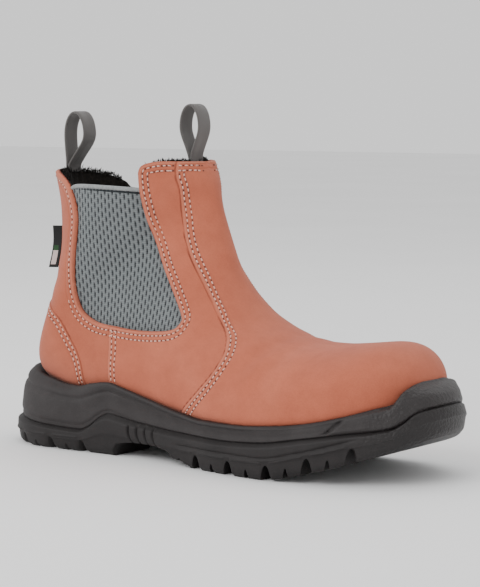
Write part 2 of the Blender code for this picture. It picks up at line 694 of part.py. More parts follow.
def sewn_x(z, lean):
    """Where flat webbing touches the inside of the collar's wall at height z."""
    inside, outside = SHAFT_INSIDE_X, SHAFT_INSIDE_X + lean * SHAFT_INSIDE_X
    for _ in range(SEARCH_STEPS):
        middle = (inside + outside) / 2
        lateral, medial, _ = reach_across(middle, z, -WALL - GAP)
        if min(-lateral, medial) > WEBBING_WIDTH / 2:
            inside = middle
        else:
            outside = middle
    return inside - lean * (WEBBING_THICKNESS / 2 + 2 * GAP)


def loop_path(loop):
    """Middle line of the webbing: up one side of a teardrop and down the other."""
    height = loop.top_z - loop.base_z - WEBBING_THICKNESS / 2
    half = (loop.span - WEBBING_THICKNESS) / 2
    pitch = WEBBING_THICKNESS + GAP
    outer_x = sewn_x(loop.base_z, loop.lean)
    inner_x = outer_x - loop.lean * pitch
    first = [(sewn_x(z, loop.lean), z) for z in (loop.base_z - loop.tail, loop.base_z - loop.tail / 2)]
    second = [(x - loop.lean * pitch, z) for x, z in first]
    for i in range(LOOP_STEPS):
        share = i / LOOP_STEPS
        ease = share * share * (3 - 2 * share)
        z = loop.base_z + share * LOOP_WAIST * height
        first.append((outer_x + ease * (loop.middle_x + loop.lean * half - outer_x), z))
        second.append((inner_x + ease * (loop.middle_x - loop.lean * half - inner_x), z))
    arc = []
    for i in range(2 * LOOP_STEPS + 1):
        angle = math.pi * i / (2 * LOOP_STEPS)
        x = loop.middle_x + loop.lean * half * math.cos(angle)
        z = loop.base_z + (LOOP_WAIST + (1 - LOOP_WAIST) * math.sin(angle)) * height
        arc.append((x, z))
    return first + arc + second[::-1]


def make_loop(loop):
    """A strip of webbing along its path, with its width across the boot."""
    path = np.asarray(loop_path(loop))
    tangent = np.gradient(path, axis=0)
    normal = np.stack([-tangent[:, 1], tangent[:, 0]], axis=1)
    normal /= np.linalg.norm(normal, axis=1)[:, None]
    bm = bmesh.new()
    rings = []
    for (x, z), (a, b) in zip(path, normal * WEBBING_THICKNESS / 2):
        half = WEBBING_WIDTH / 2
        corners = [(x + a, -half, z + b), (x + a, half, z + b), (x - a, half, z - b), (x - a, -half, z - b)]
        rings.append([bm.verts.new(corner) for corner in corners])
    for first, second in zip(rings, rings[1:]):
        quads(bm, first, second)
    bm.faces.new(rings[0])
    bm.faces.new(rings[-1])
    return to_mesh(loop.name, bm)


def make_tag():
    """The folded woven tag that stands out of the outer rear seam."""
    ends = np.array([TAG_Z - TAG_HEIGHT / 2, TAG_Z, TAG_Z + TAG_HEIGHT / 2])
    wall = reach_across(np.full(3, TAG_X), ends, 2 * PANEL_STEP + GAP)[0]
    lateral = float(wall.min()) - TAG_THICKNESS / 2
    bm = bmesh.new()
    bmesh.ops.create_cube(bm, size=1.0)
    bmesh.ops.scale(bm, verts=bm.verts, vec=(TAG_DEPTH, TAG_THICKNESS, TAG_HEIGHT))
    bmesh.ops.translate(bm, verts=bm.verts, vec=(TAG_DEPTH / 2, 0, 0))
    turn = np.array([math.cos(TAG_HEADING), math.sin(TAG_HEADING)])
    for vert in bm.verts:
        x, y = vert.co.x, vert.co.y
        vert.co.x = TAG_X + x * turn[0] - y * turn[1]
        vert.co.y = lateral + x * turn[1] + y * turn[0]
        vert.co.z += TAG_Z
    return to_mesh("side_tag", bm)


def clear_scene():
    for obj in list(bpy.data.objects):
        bpy.data.objects.remove(obj)


def main():
    clear_scene()
    parts = bpy.data.collections.new("side_gore_work_boot")
    guides = bpy.data.collections.new("side_gore_work_boot_guides")
    for collection in (parts, guides):
        bpy.context.scene.collection.children.link(collection)
    leather, elastic, rubber, foam, textile, webbing, weave = (
        make_material(*values)
        for values in (LEATHER, ELASTIC, RUBBER, FOAM, TEXTILE, WEBBING, TAG_WEAVE))
    link(make_upper(guides), parts, leather)
    link(make_gore("gore_lateral", -SIDE_REACH, -LAP, WINDOW, guides), parts, elastic)
    link(make_gore("gore_medial", LAP, SIDE_REACH, rear_shift(WINDOW), guides), parts, elastic)
    link(make_insole(guides), parts, textile)
    link(make_midsole(guides), parts, foam)
    link(make_outsole(guides), parts, rubber)
    for loop in LOOPS:
        link(make_loop(loop), parts, webbing)
    link(make_tag(), parts, weave)


main()
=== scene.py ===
"""Looks of the right side gore work boot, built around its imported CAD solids.

Metres, +Z up. The tables and the functions of the last and sole are the CAD part's own; x is
measured from the back of the heel, and place() moves finished points into the row's frame.
"""
import math
from collections import namedtuple

import bmesh
import bpy
import numpy as np
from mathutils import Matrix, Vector, kdtree


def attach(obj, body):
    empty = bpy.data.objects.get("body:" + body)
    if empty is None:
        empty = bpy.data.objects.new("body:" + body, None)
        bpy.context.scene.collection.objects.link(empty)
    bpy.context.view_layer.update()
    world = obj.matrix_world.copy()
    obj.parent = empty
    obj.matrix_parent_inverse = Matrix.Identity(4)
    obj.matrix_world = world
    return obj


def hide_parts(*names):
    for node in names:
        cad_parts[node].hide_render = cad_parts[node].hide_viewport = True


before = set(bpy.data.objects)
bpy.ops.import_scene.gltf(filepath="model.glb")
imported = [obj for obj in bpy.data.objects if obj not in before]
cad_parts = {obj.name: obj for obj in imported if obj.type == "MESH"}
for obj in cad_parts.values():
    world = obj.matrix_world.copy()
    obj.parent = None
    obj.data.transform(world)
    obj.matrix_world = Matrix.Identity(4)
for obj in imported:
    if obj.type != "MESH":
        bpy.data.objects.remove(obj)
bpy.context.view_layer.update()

# Driving sizes
SOLE_LENGTH = 0.286
UPPER_TIP = 0.2685
WALL = 0.0018
PANEL_STEP = 0.0006
GAP = 0.0003
RIM = 0.0042
GORE_THICKNESS = 0.0014
COLLAR_FRONT_Z = 0.1622
COLLAR_REAR_Z = 0.1555
PANEL_TOP_Z = 0.175
GORE_TOP_Z = 0.1490
WEBBING_WIDTH = 0.013
WEBBING_THICKNESS = 0.0015
TAG_HEIGHT = 0.0235
TAG_THICKNESS = 0.0011
LUG_HEIGHT = 0.0095
HEEL_LUG_HEIGHT = 0.0068
GROOVE_DEPTH = 0.0045
LUG_RAMP = 0.004

# Bounds and steps of the searches
BEHIND_X = -0.010
SEARCH_STEPS = 40
HEEL_INSIDE_X = 0.060
TOE_INSIDE_X = 0.240
SHAFT_INSIDE_X = 0.075

# Where the footprint's middle lies
HEEL_X = -SOLE_LENGTH / 2
CENTRE_Y = 0.000975

# The last: each row is a slice through a point of the front profile and one of the sole or heel
# profile. wide is the share of the way from back to front where the slice is widest, ridge how far
# its middle lies towards the inner side, n_front and n_back how square its two ends are.
# Columns: front x, z, back x, z, wide, lateral, medial, ridge, n_front, n_back.
SECTIONS = [
    (0.2685, 0.068, 0.2685, 0.037, 0.36, 0.043, 0.04, 0.004, 2.4, 3.4),
    (0.251, 0.0695, 0.251, 0.032, 0.34, 0.045, 0.0405, 0.004, 2.4, 3.6),
    (0.231, 0.067, 0.231, 0.0272, 0.32, 0.047, 0.0405, 0.004, 2.4, 3.8),
    (0.208, 0.0652, 0.208, 0.023, 0.32, 0.049, 0.0415, 0.003, 2.3, 3.9),
    (0.187, 0.068, 0.186, 0.0212, 0.32, 0.05, 0.042, 0.002, 2.2, 3.9),
    (0.17, 0.0755, 0.162, 0.0212, 0.32, 0.047, 0.041, 0.001, 2.1, 3.6),
    (0.157, 0.087, 0.136, 0.0225, 0.31, 0.042, 0.037, 0.0, 2.0, 3.2),
    (0.148, 0.099, 0.108, 0.0255, 0.3, 0.038, 0.034, 0.0, 2.0, 2.9),
    (0.142, 0.112, 0.078, 0.0275, 0.28, 0.035, 0.032, 0.0, 2.0, 2.7),
    (0.1375, 0.126, 0.046, 0.0285, 0.27, 0.033, 0.031, 0.0, 2.0, 2.4),
    (0.1335, 0.14, 0.015, 0.041, 0.28, 0.032, 0.031, 0.0, 2.0, 2.2),
    (0.13, 0.152, 0.024, 0.074, 0.36, 0.034, 0.034, 0.0, 2.1, 2.1),
    (0.125, 0.162, 0.032, 0.106, 0.44, 0.036, 0.036, 0.0, 2.1, 2.0),
    (0.1195, 0.171, 0.031, 0.136, 0.48, 0.037, 0.037, 0.0, 2.1, 1.9),
    (0.1155, 0.182, 0.0235, 0.166, 0.5, 0.038, 0.038, 0.0, 2.1, 1.9),
    (0.113, 0.195, 0.019, 0.192, 0.5, 0.038, 0.038, 0.0, 2.1, 1.9),
]
TOE_CLOSE = 0.044
TOE_TOP_CLOSE = 0.028
TOE_POLE_Z = 0.045
TOE_PLAN_POWER = 2.3
TOE_TOP_POWER = 2.4
TOE_ROWS = 2.3

# The sole seen from above, before its two ends are rounded: x, lateral, medial
OUTLINE = [
    (0.0, 0.036, 0.036), (0.04, 0.0385, 0.037), (0.075, 0.038, 0.034), (0.105, 0.0385, 0.0305),
    (0.14, 0.044, 0.036), (0.175, 0.051, 0.046), (0.2, 0.053, 0.0505), (0.225, 0.051, 0.051),
    (0.255, 0.046, 0.049), (0.29, 0.04, 0.046),
]
HEEL_ROUND = 0.038
TOE_ROUND = 0.062
HEEL_POWER = 2.1
TOE_POWER = 2.2

# Heights (x, z) along the sole: its underside, the line between outsole and midsole, and the cup's lip
UNDERSIDE = [
    (0.0, 0.0), (0.198, 0.0), (0.221, 0.0045), (0.2434, 0.0107), (0.2638, 0.0173), (0.279, 0.0235),
    (0.286, 0.026),
]
PARTING = [
    (0.0, 0.0158), (0.014, 0.0152), (0.03, 0.0137), (0.05, 0.0125), (0.064, 0.0122),
    (0.071, 0.0148), (0.0775, 0.0196), (0.085, 0.0228), (0.096, 0.0213), (0.107, 0.0196),
    (0.135, 0.018), (0.168, 0.0176), (0.196, 0.019), (0.225, 0.0236), (0.245, 0.027),
    (0.266, 0.0302), (0.2723, 0.0342), (0.277, 0.039), (0.286, 0.042),
]
LIP = [
    (0.008, 0.044), (0.022, 0.04), (0.038, 0.0372), (0.05, 0.0353), (0.06, 0.0352), (0.072, 0.0377),
    (0.086, 0.0395), (0.095, 0.0377), (0.113, 0.0335), (0.139, 0.0282), (0.157, 0.0258),
    (0.181, 0.026), (0.209, 0.0279), (0.2246, 0.0302), (0.2424, 0.0344), (0.256, 0.0386),
    (0.264, 0.0412), (0.2665, 0.045), (0.269, 0.0497), (0.271, 0.0515),
]

# The walls of the sole: share is the way up the piece, lean how far the ring has moved from the
# sole's outline to the upper's own, outset how far the outline is let out
PARTING_OUTSET = -0.0030
OUTSOLE_WALL = [
    (0.0, 0.0, -0.0036), (0.13, 0.0, -0.0014), (0.5, 0.0, -0.0002), (0.54, 0.0, 0.0002),
    (0.85, 0.0, 0.0), (1.0, 0.0, PARTING_OUTSET),
]
MIDSOLE_WALL = [
    (0.0, 0.0, PARTING_OUTSET), (0.1, 0.02, -0.002), (0.48, 0.12, -0.0024), (0.8, 0.48, -0.0024),
    (1.0, 1.0, 0.0),
]

# Gore windows (x, z) seen from the outer side, from the rear tab down, forward and up to the front tab
WINDOW = [
    (0.0545, 0.147), (0.0595, 0.1385), (0.0612, 0.129), (0.06, 0.1183), (0.0587, 0.107),
    (0.0586, 0.0959), (0.0596, 0.0869), (0.0632, 0.0782), (0.0737, 0.0727), (0.088, 0.0712),
    (0.1034, 0.0703), (0.1189, 0.0708), (0.1288, 0.0725), (0.1325, 0.0759), (0.1321, 0.0797),
    (0.1218, 0.0943), (0.115, 0.105), (0.1094, 0.1169), (0.1058, 0.1281), (0.1035, 0.144),
    (0.1028, 0.154),
]
FRONT_TAB = [
    (0.1028, 0.156), (0.1034, 0.1583), (0.1049, 0.1601), (0.1083, 0.1614), (0.113, COLLAR_FRONT_Z),
    (0.12, COLLAR_FRONT_Z),
]
REAR_TAB = [
    (0.02, COLLAR_REAR_Z), (0.033, COLLAR_REAR_Z), (0.042, 0.1535), (0.049, 0.151),
]
MEDIAL_REAR_SHIFT = -0.012
SHIFT_FADES = (0.056, 0.082)
SHIFT_RISES = (0.075, 0.105)

# Panel edges seen from the side
VAMP_EDGE = [
    (0.1185, PANEL_TOP_Z), (0.1195, 0.1557), (0.1215, 0.1465), (0.1221, 0.134), (0.1241, 0.1232),
    (0.1278, 0.1136), (0.1322, 0.1063), (0.138, 0.0984), (0.1451, 0.0892), (0.1546, 0.0783),
    (0.1604, 0.0725), (0.164, 0.0677), (0.166, 0.0601), (0.1612, 0.0502), (0.1495, 0.0381),
    (0.138, 0.0279), (0.129, 0.02),
]
QUARTER_EDGE_X = 0.0838
COUNTER_EDGE = [
    (0.015, 0.09), (0.035, 0.0813), (0.0466, 0.0744), (0.0525, 0.0668), (0.0567, 0.0612),
    (0.0613, 0.0545), (0.0639, 0.0454), (0.0625, 0.03),
]
BACKSTAY_HALF = 0.017

# Gaps between lugs, the arch, the slits that part each lug, and the slanted ribs
HEEL_GAPS = (0.0215, 0.0440, 0.0665)
FOREFOOT_GAPS = (0.1530, 0.1775, 0.2030, 0.2270, 0.2500)
LUG_REACH = 0.015
CHANNEL_HALF = 0.003
CHANNEL_X = (0.012, 0.262)
CHANNEL_DEPTH = 0.0036
ARCH = [
    (0.087, -0.01), (0.0895, 0.0045), (0.0945, 0.0077), (0.1066, 0.0089), (0.119, 0.0088),
    (0.13, 0.0074), (0.1345, 0.0042), (0.1455, 0.0016), (0.148, -0.01),
]
SLITS = (0.0325, 0.0552, 0.14, 0.1655, 0.1903, 0.215, 0.2385)
RIB_GROOVES = (0.1010, 0.1070, 0.1130, 0.1190)
RIB_Z = 0.0142

# Pull loops: where the webbing leaves the collar, its widest span, its top, and whether it is sewn
# to the rear (-1) or front (1) of the collar
Loop = namedtuple("Loop", "name base_z middle_x span top_z tail lean")
LOOPS = [
    Loop("pull_loop_rear", 0.1565, 0.0362, 0.0157, 0.1890, 0.016, -1),
    Loop("pull_loop_front", 0.1630, 0.1186, 0.0142, 0.1932, 0.016, 1),
]
LOOP_WAIST = 0.60
LOOP_STEPS = 7
TAG_X = 0.0365
TAG_Z = 0.1125
TAG_HEADING = math.radians(200)


def clamp(value):
    """The value held between 0 and 1."""
    return np.clip(value, 0, 1)


def ease(share):
    """The share with a soft start and end."""
    return share * share * (3 - 2 * share)


def hermite(f, start, end, leave, arrive, span=1.0):
    """Share f of a cubic from start to end, with its slopes at both."""
    return ((2 * f**3 - 3 * f**2 + 1) * start + (f**3 - 2 * f**2 + f) * span * leave
            + (3 * f**2 - 2 * f**3) * end + (f**3 - f**2) * span * arrive)


def cubic(rows, where, knots):
    """Smooth curve through rows at knots, with slopes that never overshoot a step."""
    rows = np.asarray(rows, float)
    where = np.clip(np.asarray(where, float), knots[0], knots[-1])
    index = np.clip(np.searchsorted(knots, where, side="right") - 1, 0, len(knots) - 2)
    width = np.diff(knots)[:, None]
    steps = np.diff(rows, axis=0) / width
    slopes = np.empty_like(rows)
    slopes[0] = steps[0]
    slopes[-1] = steps[-1]
    product = steps[:-1] * steps[1:]
    total = steps[:-1] + steps[1:]
    slopes[1:-1] = np.where(product > 0, 2 * product / np.where(total == 0, 1, total), 0)
    span = width[index]
    f = ((where - knots[index]) / span[..., 0])[..., None]
    return hermite(f, rows[index], rows[index + 1], slopes[index], slopes[index + 1], span)


def along(table, x, column=1):
    """The named column of a table whose first column is x."""
    knots = np.array([row[0] for row in table])
    values = np.array([[row[column]] for row in table])
    return cubic(values, x, knots)[..., 0]


def smooth_rows(s):
    """The last's section at row number s, by a cubic through its neighbours."""
    rows = np.asarray(SECTIONS, float)
    s = np.clip(np.asarray(s, float), 0, len(rows) - 1)
    index = np.minimum(s.astype(int), len(rows) - 2)
    f = (s - index)[..., None]
    slopes = np.gradient(rows, axis=0)
    return hermite(f, rows[index], rows[index + 1], slopes[index], slopes[index + 1])


def rounding(x, start, end, power):
    """1 up to start, then down to 0 at end along a superellipse."""
    share = clamp((x - start) / (end - start))
    return (1 - share**power) ** (1 / power)


def slices(s, grow):
    """Front point, back point and proportions of each slice, let out by grow."""
    row = smooth_rows(s)
    front = row[..., 0:2].copy()
    back = row[..., 2:4].copy()
    stretch = np.clip((front[..., 0] - UPPER_TIP + TOE_CLOSE) / TOE_CLOSE, 0, None)
    plan = rounding(front[..., 0], UPPER_TIP - TOE_CLOSE, UPPER_TIP, TOE_PLAN_POWER)
    height = rounding(front[..., 0], UPPER_TIP - TOE_TOP_CLOSE, UPPER_TIP, TOE_TOP_POWER)
    axis = front - back
    unit = axis / np.linalg.norm(axis, axis=-1)[..., None]
    front += unit * grow
    back -= unit * grow
    front[..., 0] += stretch * grow
    back[..., 0] += stretch * grow
    front[..., 1] = TOE_POLE_Z + (front[..., 1] - TOE_POLE_Z) * height
    back[..., 1] = TOE_POLE_Z + (back[..., 1] - TOE_POLE_Z) * height
    return front, back, row[..., 4], (row[..., 5] + grow) * plan, (row[..., 6] + grow) * plan, row


def reach_across(x, z, grow):
    """Lateral and medial y of the let-out last above the point (x, z), and the slice's fill."""
    x = np.asarray(x, float)
    z = np.asarray(z, float)
    low = np.zeros_like(x)
    high = np.full_like(x, len(SECTIONS) - 1.0)
    for _ in range(SEARCH_STEPS):
        s = (low + high) / 2
        front, back = slices(s, grow)[:2]
        axis = front - back
        cross = axis[..., 0] * (z - back[..., 1]) - axis[..., 1] * (x - back[..., 0])
        low = np.where(cross > 0, s, low)
        high = np.where(cross > 0, high, s)
    front, back, wide, lateral, medial, row = slices((low + high) / 2, grow)
    axis = front - back
    length = np.maximum(np.linalg.norm(axis, axis=-1), 1e-9)
    share = ((x - back[..., 0]) * axis[..., 0] + (z - back[..., 1]) * axis[..., 1]) / length**2
    ahead = share >= wide
    fill = np.where(ahead, (share - wide) / (1 - wide), (wide - share) / wide)
    power = np.where(ahead, row[..., 8], row[..., 9])
    width = (1 - clamp(fill) ** power) ** (1 / power)
    return row[..., 7] - lateral * width, row[..., 7] + medial * width, fill


def smooth_path(spots, steps):
    """A curve through the spots, with steps points for each of them."""
    points = np.asarray(spots, float)
    slopes = np.gradient(points, axis=0)
    path = [hermite(f, points[i], points[i + 1], slopes[i], slopes[i + 1])
            for i in range(len(points) - 1) for f in np.arange(steps) / steps]
    return [tuple(point) for point in path + [points[-1]]]


def sewn_x(z, lean):
    """Where flat webbing touches the inside of the collar's wall at height z."""
    inside, outside = SHAFT_INSIDE_X, SHAFT_INSIDE_X + lean * SHAFT_INSIDE_X
    for _ in range(SEARCH_STEPS):
        middle = (inside + outside) / 2
        lateral, medial, _ = reach_across(middle, z, -WALL - GAP)
        if min(-lateral, medial) > WEBBING_WIDTH / 2:
            inside = middle
        else:
            outside = middle
    return inside - lean * (WEBBING_THICKNESS / 2 + 2 * GAP)


def loop_path(loop):
    """Middle line of the webbing: up one side of a teardrop and down the other."""
    height = loop.top_z - loop.base_z - WEBBING_THICKNESS / 2
    half = (loop.span - WEBBING_THICKNESS) / 2
    pitch = WEBBING_THICKNESS + GAP
    outer_x = sewn_x(loop.base_z, loop.lean)
    inner_x = outer_x - loop.lean * pitch
    first = [(sewn_x(z, loop.lean), z) for z in (loop.base_z - loop.tail, loop.base_z - loop.tail / 2)]
    second = [(x - loop.lean * pitch, z) for x, z in first]
    for i in range(LOOP_STEPS):
        share = i / LOOP_STEPS
        z = loop.base_z + share * LOOP_WAIST * height
        first.append((outer_x + ease(share) * (loop.middle_x + loop.lean * half - outer_x), z))
        second.append((inner_x + ease(share) * (loop.middle_x - loop.lean * half - inner_x), z))
    arc = []
    for i in range(2 * LOOP_STEPS + 1):
        angle = math.pi * i / (2 * LOOP_STEPS)
        x = loop.middle_x + loop.lean * half * math.cos(angle)
        z = loop.base_z + (LOOP_WAIST + (1 - LOOP_WAIST) * math.sin(angle)) * height
        arc.append((x, z))
    return first + arc + second[::-1]


# Leather: turned edge, hidden lap, margin cut before the edge is drawn, rings of the form
FOLD = 0.0009
PANEL_LAP = 0.004
EDGE_MARGIN = 0.004
TOE_RINGS = 46
FORM_PASSES = 14
LINE_STEP = 0.0004
SPOTS_AT_ONCE = 8000

# Stitches, and how far their two rows lie from an edge
STITCH_STEP = 0.0005
STITCH_PITCH = 0.003
STITCH_LENGTH = 0.0018
STITCH_RADIUS = 0.0004
# Size of the dark beads painted as shade in the needle holes
HOLE_LENGTH = 0.001
HOLE_RADIUS = 0.00048
ROWS_AT = (0.0027, 0.0055)

# Gores: foot of the panel, pitch of the dashes, rise of the ribs, sag of the cloth, rolled binding and the
# painted shadow line under it
GORE_FOOT_Z = 0.0655
DASH_PITCH = (0.0023, 0.005)
RIB_RISE = 0.0005
GORE_SAG = 0.0006
BINDING_RADIUS = 0.0012
BINDING_SHADOW_RADIUS = 0.00055

# Pile: how far inside the leather's face, how much further forward, its foot, its front and tufts
LINING_IN = 0.0044
LINING_SHIFT = -0.003
LINING_FOOT_Z = 0.036
LINING_FRONT_X = 0.15
TUFTS_EACH = 15

# Tag and tape. Of each loop's tails: where they end, where they are drawn together, how they lean
TAG_FLAP = 0.0054
TAPE_WIDTH = 0.0108
TAILS = {"pull_loop_rear": (0.1543, 0.15, 0.1), "pull_loop_front": (0.1608, 0.156, -0.12)}

# Sole: half widths of gaps and slits, how far the toe is drawn back and from where, rings of each wall
GAP_HALF = 0.0031
SLIT_HALF = 0.0014
TOE_PULL = 0.0024
TOE_PULL_FROM = 0.24
CUP_RINGS = 34
TREAD_RINGS = 42
RNG = np.random.default_rng(7)


def unit_rows(vectors):
    """The vectors, each brought to length 1."""
    return vectors / np.maximum(np.linalg.norm(vectors, axis=1), 1e-12)[:, None]


def soften(values, times):
    """Evens out the values along their first axis, with both ends kept."""
    for _ in range(times):
        values[1:-1] = (values[:-2] + 2 * values[1:-1] + values[2:]) / 4


def place(points):
    """Points of the heel's frame in the row's frame."""
    return np.asarray(points, float) + np.array([HEEL_X, CENTRE_Y, 0.0])


def dense_rings(s, phi, grow):
    """Evenly spread points of the last let out by grow, a ring for each slice."""
    front, back, wide, lateral, medial, row = slices(s, grow)
    axis = front - back
    length = np.linalg.norm(axis, axis=-1)
    unit = axis / np.maximum(length, 1e-9)[:, None]
    middle = back + axis * wide[:, None]
    c = np.cos(phi)[None]
    q = np.sin(phi)[None]
    power = np.where(c >= 0, row[:, 8:9], row[:, 9:10])
    radius = (np.abs(c)**power + np.abs(q)**power) ** (-1 / power)
    reach = np.where(c >= 0, (length * (1 - wide))[:, None], (length * wide)[:, None])
    forward = reach * c * radius
    side = np.where(q > 0, -lateral[:, None], medial[:, None]) * np.abs(q) * radius
    x = middle[:, 0:1] + unit[:, 0:1] * forward
    z = middle[:, 1:2] + unit[:, 1:2] * forward
    return np.stack([x, side + row[:, 7:8], z], axis=2)


def grid_faces(rows, columns, wrap):
    """Quads of a grid, its columns closed to a ring where wrap is true."""
    i, j = np.meshgrid(np.arange(rows - 1), np.arange(columns if wrap else columns - 1), indexing="ij")
    k = (j + 1) % columns
    return np.stack([i * columns + j, i * columns + k, (i + 1) * columns + k, (i + 1) * columns + j],
                    axis=-1).reshape(-1, 4)


def form_bmesh(grow, rows=190, sides=220):
    """The let-out last as a dense open mesh, closed at the toe's tip."""
    toe = TOE_ROWS * (1 - np.cos(np.linspace(0.05, math.pi / 2, TOE_RINGS)))
    rest = np.linspace(TOE_ROWS, len(SECTIONS) - 1, rows - TOE_RINGS)[1:]
    phi = (np.arange(sides) + 0.5) * 2 * math.pi / sides
    points = dense_rings(np.concatenate([toe, rest]), phi, grow)
    soften(points[1:], FORM_PASSES)
    mesh = bpy.data.meshes.new("form")
    mesh.from_pydata(points.reshape(-1, 3).tolist(), [], grid_faces(len(points), sides, True).tolist())
    bm = bmesh.new()
    bm.from_mesh(mesh)
    bpy.data.meshes.remove(mesh)
    bm.verts.ensure_lookup_table()
    bm.faces.new([bm.verts[i] for i in range(sides)])
    bmesh.ops.recalc_face_normals(bm, faces=bm.faces)
    return bm


def distance(points, path):
    """Distance in the side view from each point to a line of (x, z) spots."""
    path = np.asarray(path, float)
    a = path[:-1]
    step = path[1:] - a
    size = np.maximum((step**2).sum(axis=1), 1e-18)
    out = np.empty(len(points))
    for start in range(0, len(points), SPOTS_AT_ONCE):
        part = points[start:start + SPOTS_AT_ONCE, None]
        t = clamp(((part - a) * step).sum(axis=2) / size)
        gap = ((part - a - t[..., None] * step)**2).sum(axis=2).min(axis=1)
        out[start:start + SPOTS_AT_ONCE] = np.sqrt(gap)
    return out


def within(points, path):
    """Whether each (x, z) point lies inside the closed outline."""
    path = np.asarray(path, float)
    inside = np.zeros(len(points), bool)
    x, z = points[:, 0], points[:, 1]
    for (ax, az), (bx, bz) in zip(path, np.roll(path, -1, axis=0)):
        if az == bz:
            continue
        inside ^= ((az > z) != (bz > z)) & (x < (bx - ax) * (z - az) / (bz - az) + ax)
    return inside


def tab_share(x, z):
    """How far a spot takes part in the narrowing of the inner rear tab, 0 to 1."""
    (start, end), (low, high) = SHIFT_FADES, SHIFT_RISES
    return clamp((end - x) / (end - start)) * clamp((z - low) / (high - low))


def rear_shift(spots):
    """The same outline for the inner side, whose rear tab is narrower."""
    return [(x + MEDIAL_REAR_SHIFT * tab_share(x, z), z) for x, z in spots]


def inner_side(points, shift=MEDIAL_REAR_SHIFT):
    """Side-view points, those of the inner side moved to where the outer outline has them."""
    x, y, z = points.T
    weight = ease(clamp(y / 0.010))
    moved = x
    for _ in range(4):
        moved = x - shift * tab_share(moved, z) * weight
    return np.stack([moved, z], axis=1)


TAB_LINE = smooth_path(REAR_TAB + WINDOW + FRONT_TAB, 5)
COLLAR_LINE = [(-0.03, COLLAR_REAR_Z)] + TAB_LINE + [(0.17, COLLAR_FRONT_Z)]
COLLAR_AREA = COLLAR_LINE + [(0.17, 0.25), (-0.03, 0.25)]
VAMP_LINE = smooth_path(VAMP_EDGE, 5)
VAMP_AREA = VAMP_LINE + [(0.129, -0.05), (0.32, -0.05), (0.32, 0.22), (0.1185, 0.22)]
COUNTER_LINE = smooth_path(COUNTER_EDGE, 5)
COUNTER_AREA = COUNTER_LINE + [(0.0625, -0.05), (-0.05, -0.05), (-0.05, 0.1)]


def window_field(points, shift=MEDIAL_REAR_SHIFT):
    """Distance from the collar and the gore windows, negative in the openings."""
    flat = inner_side(points, shift)
    return distance(flat, COLLAR_LINE) * np.where(within(flat, COLLAR_AREA), -1, 1)


def panel_field(line, area):
    """Distance from a panel's edge in the side view, positive on the panel."""
    def field(points):
        flat = points[:, ::2]
        return distance(flat, line) * np.where(within(flat, area), 1, -1)
    return field


vamp_field = panel_field(VAMP_LINE, VAMP_AREA)
counter_field = panel_field(COUNTER_LINE, COUNTER_AREA)


def quarter_field(points):
    """How far in front of the quarter's straight edge the points lie."""
    return points[:, 0] - QUARTER_EDGE_X


def backstay_field(points):
    """Inside the strip up the heel, which narrows towards the collar."""
    half = BACKSTAY_HALF * (0.50 + 0.30 * clamp((0.16 - points[:, 2]) / 0.12))
    return half - np.abs(points[:, 1]) + np.clip(0.055 - points[:, 0], -1, 0) * 4


def lip_field(points):
    """Height above a line hidden inside the cup."""
    return points[:, 2] - along(LIP, points[:, 0]) + 0.006


def relief(points):
    """Soft troughs and ridges where the leather bends, as heights along the normal."""
    x, y, z = points.T
    high = np.zeros(len(points))
    for cx, cz, turn, length, width, depth in CREASES:
        c, s = math.cos(math.radians(turn)), math.sin(math.radians(turn))
        u = (x - cx) * c + (z - cz) * s
        v = -(x - cx) * s + (z - cz) * c
        high -= depth * np.exp(-(u / length)**2) * (np.exp(-(v / width)**2)
                                                    - 0.5 * np.exp(-((np.abs(v) - 2 * width) / width)**2))
    high += 0.00010 * np.sin(x * 150 + 2 * np.sin(z * 70)) * np.sin(z * 120 + y * 90)
    return high


# Soft bends of the leather: x, z, turn, length, width, depth
CREASES = [
    (0.183, 0.06, 60, 0.012, 0.004, 0.0005), (0.196, 0.056, 72, 0.012, 0.004, 0.0004),
    (0.15, 0.07, 35, 0.014, 0.005, 0.0005), (0.095, 0.06, 20, 0.016, 0.004, 0.0004),
    (0.042, 0.095, -10, 0.012, 0.004, 0.0004), (0.142, 0.105, -40, 0.012, 0.004, 0.0004),
]


def split_along(bm, field, level=0.0):
    """Adds an edge line where the field has the level."""
    bm.verts.index_update()
    value = field(np.array([v.co[:] for v in bm.verts])) - level
    value[np.abs(value) < 3e-5] = 3e-5
    crossing = [e for e in bm.edges if value[e.verts[0].index] * value[e.verts[1].index] < 0]
    fresh = set()
    for edge in crossing:
        first, last = edge.verts
        a, b = value[first.index], value[last.index]
        fresh.add(bmesh.utils.edge_split(edge, first, a / (a - b))[1])
    for face in {f for v in fresh for f in v.link_faces}:
        ends = [v for v in face.verts if v in fresh]
        if len(ends) == 2:
            bmesh.utils.face_split(face, ends[0], ends[1])


def drop(bm, field, level=0.0):
    """Removes the faces where the field is below the level."""
    faces = list(bm.faces)
    centres = np.array([f.calc_center_median()[:] for f in faces])
    gone = field(centres) < level
    bmesh.ops.delete(bm, geom=[f for f, g in zip(faces, gone) if g], context="FACES")


def add_object(name, data):
    """A new object in the scene."""
    obj = bpy.data.objects.new(name, data)
    bpy.context.scene.collection.objects.link(obj)
    return obj


def dress(name, mesh, material):
    """A piece of the mesh that rides on the body, with its material and slot."""
    obj = add_object(name, mesh)
    mesh.materials.append(material)
    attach(obj, "root")
    return obj


def finish_object(name, bm, material):
    """A riding, smooth piece of a mesh in the heel's frame."""
    bmesh.ops.translate(bm, verts=bm.verts, vec=(HEEL_X, CENTRE_Y, 0))
    mesh = bpy.data.meshes.new(name)
    bm.to_mesh(mesh)
    bm.free()
    mesh.shade_smooth()
    return dress(name, mesh, material)


def coordinates(bm):
    """Places and normals of the mesh's points."""
    bm.normal_update()
    bm.verts.index_update()
    return np.array([v.co[:] for v in bm.verts]), np.array([v.normal[:] for v in bm.verts])


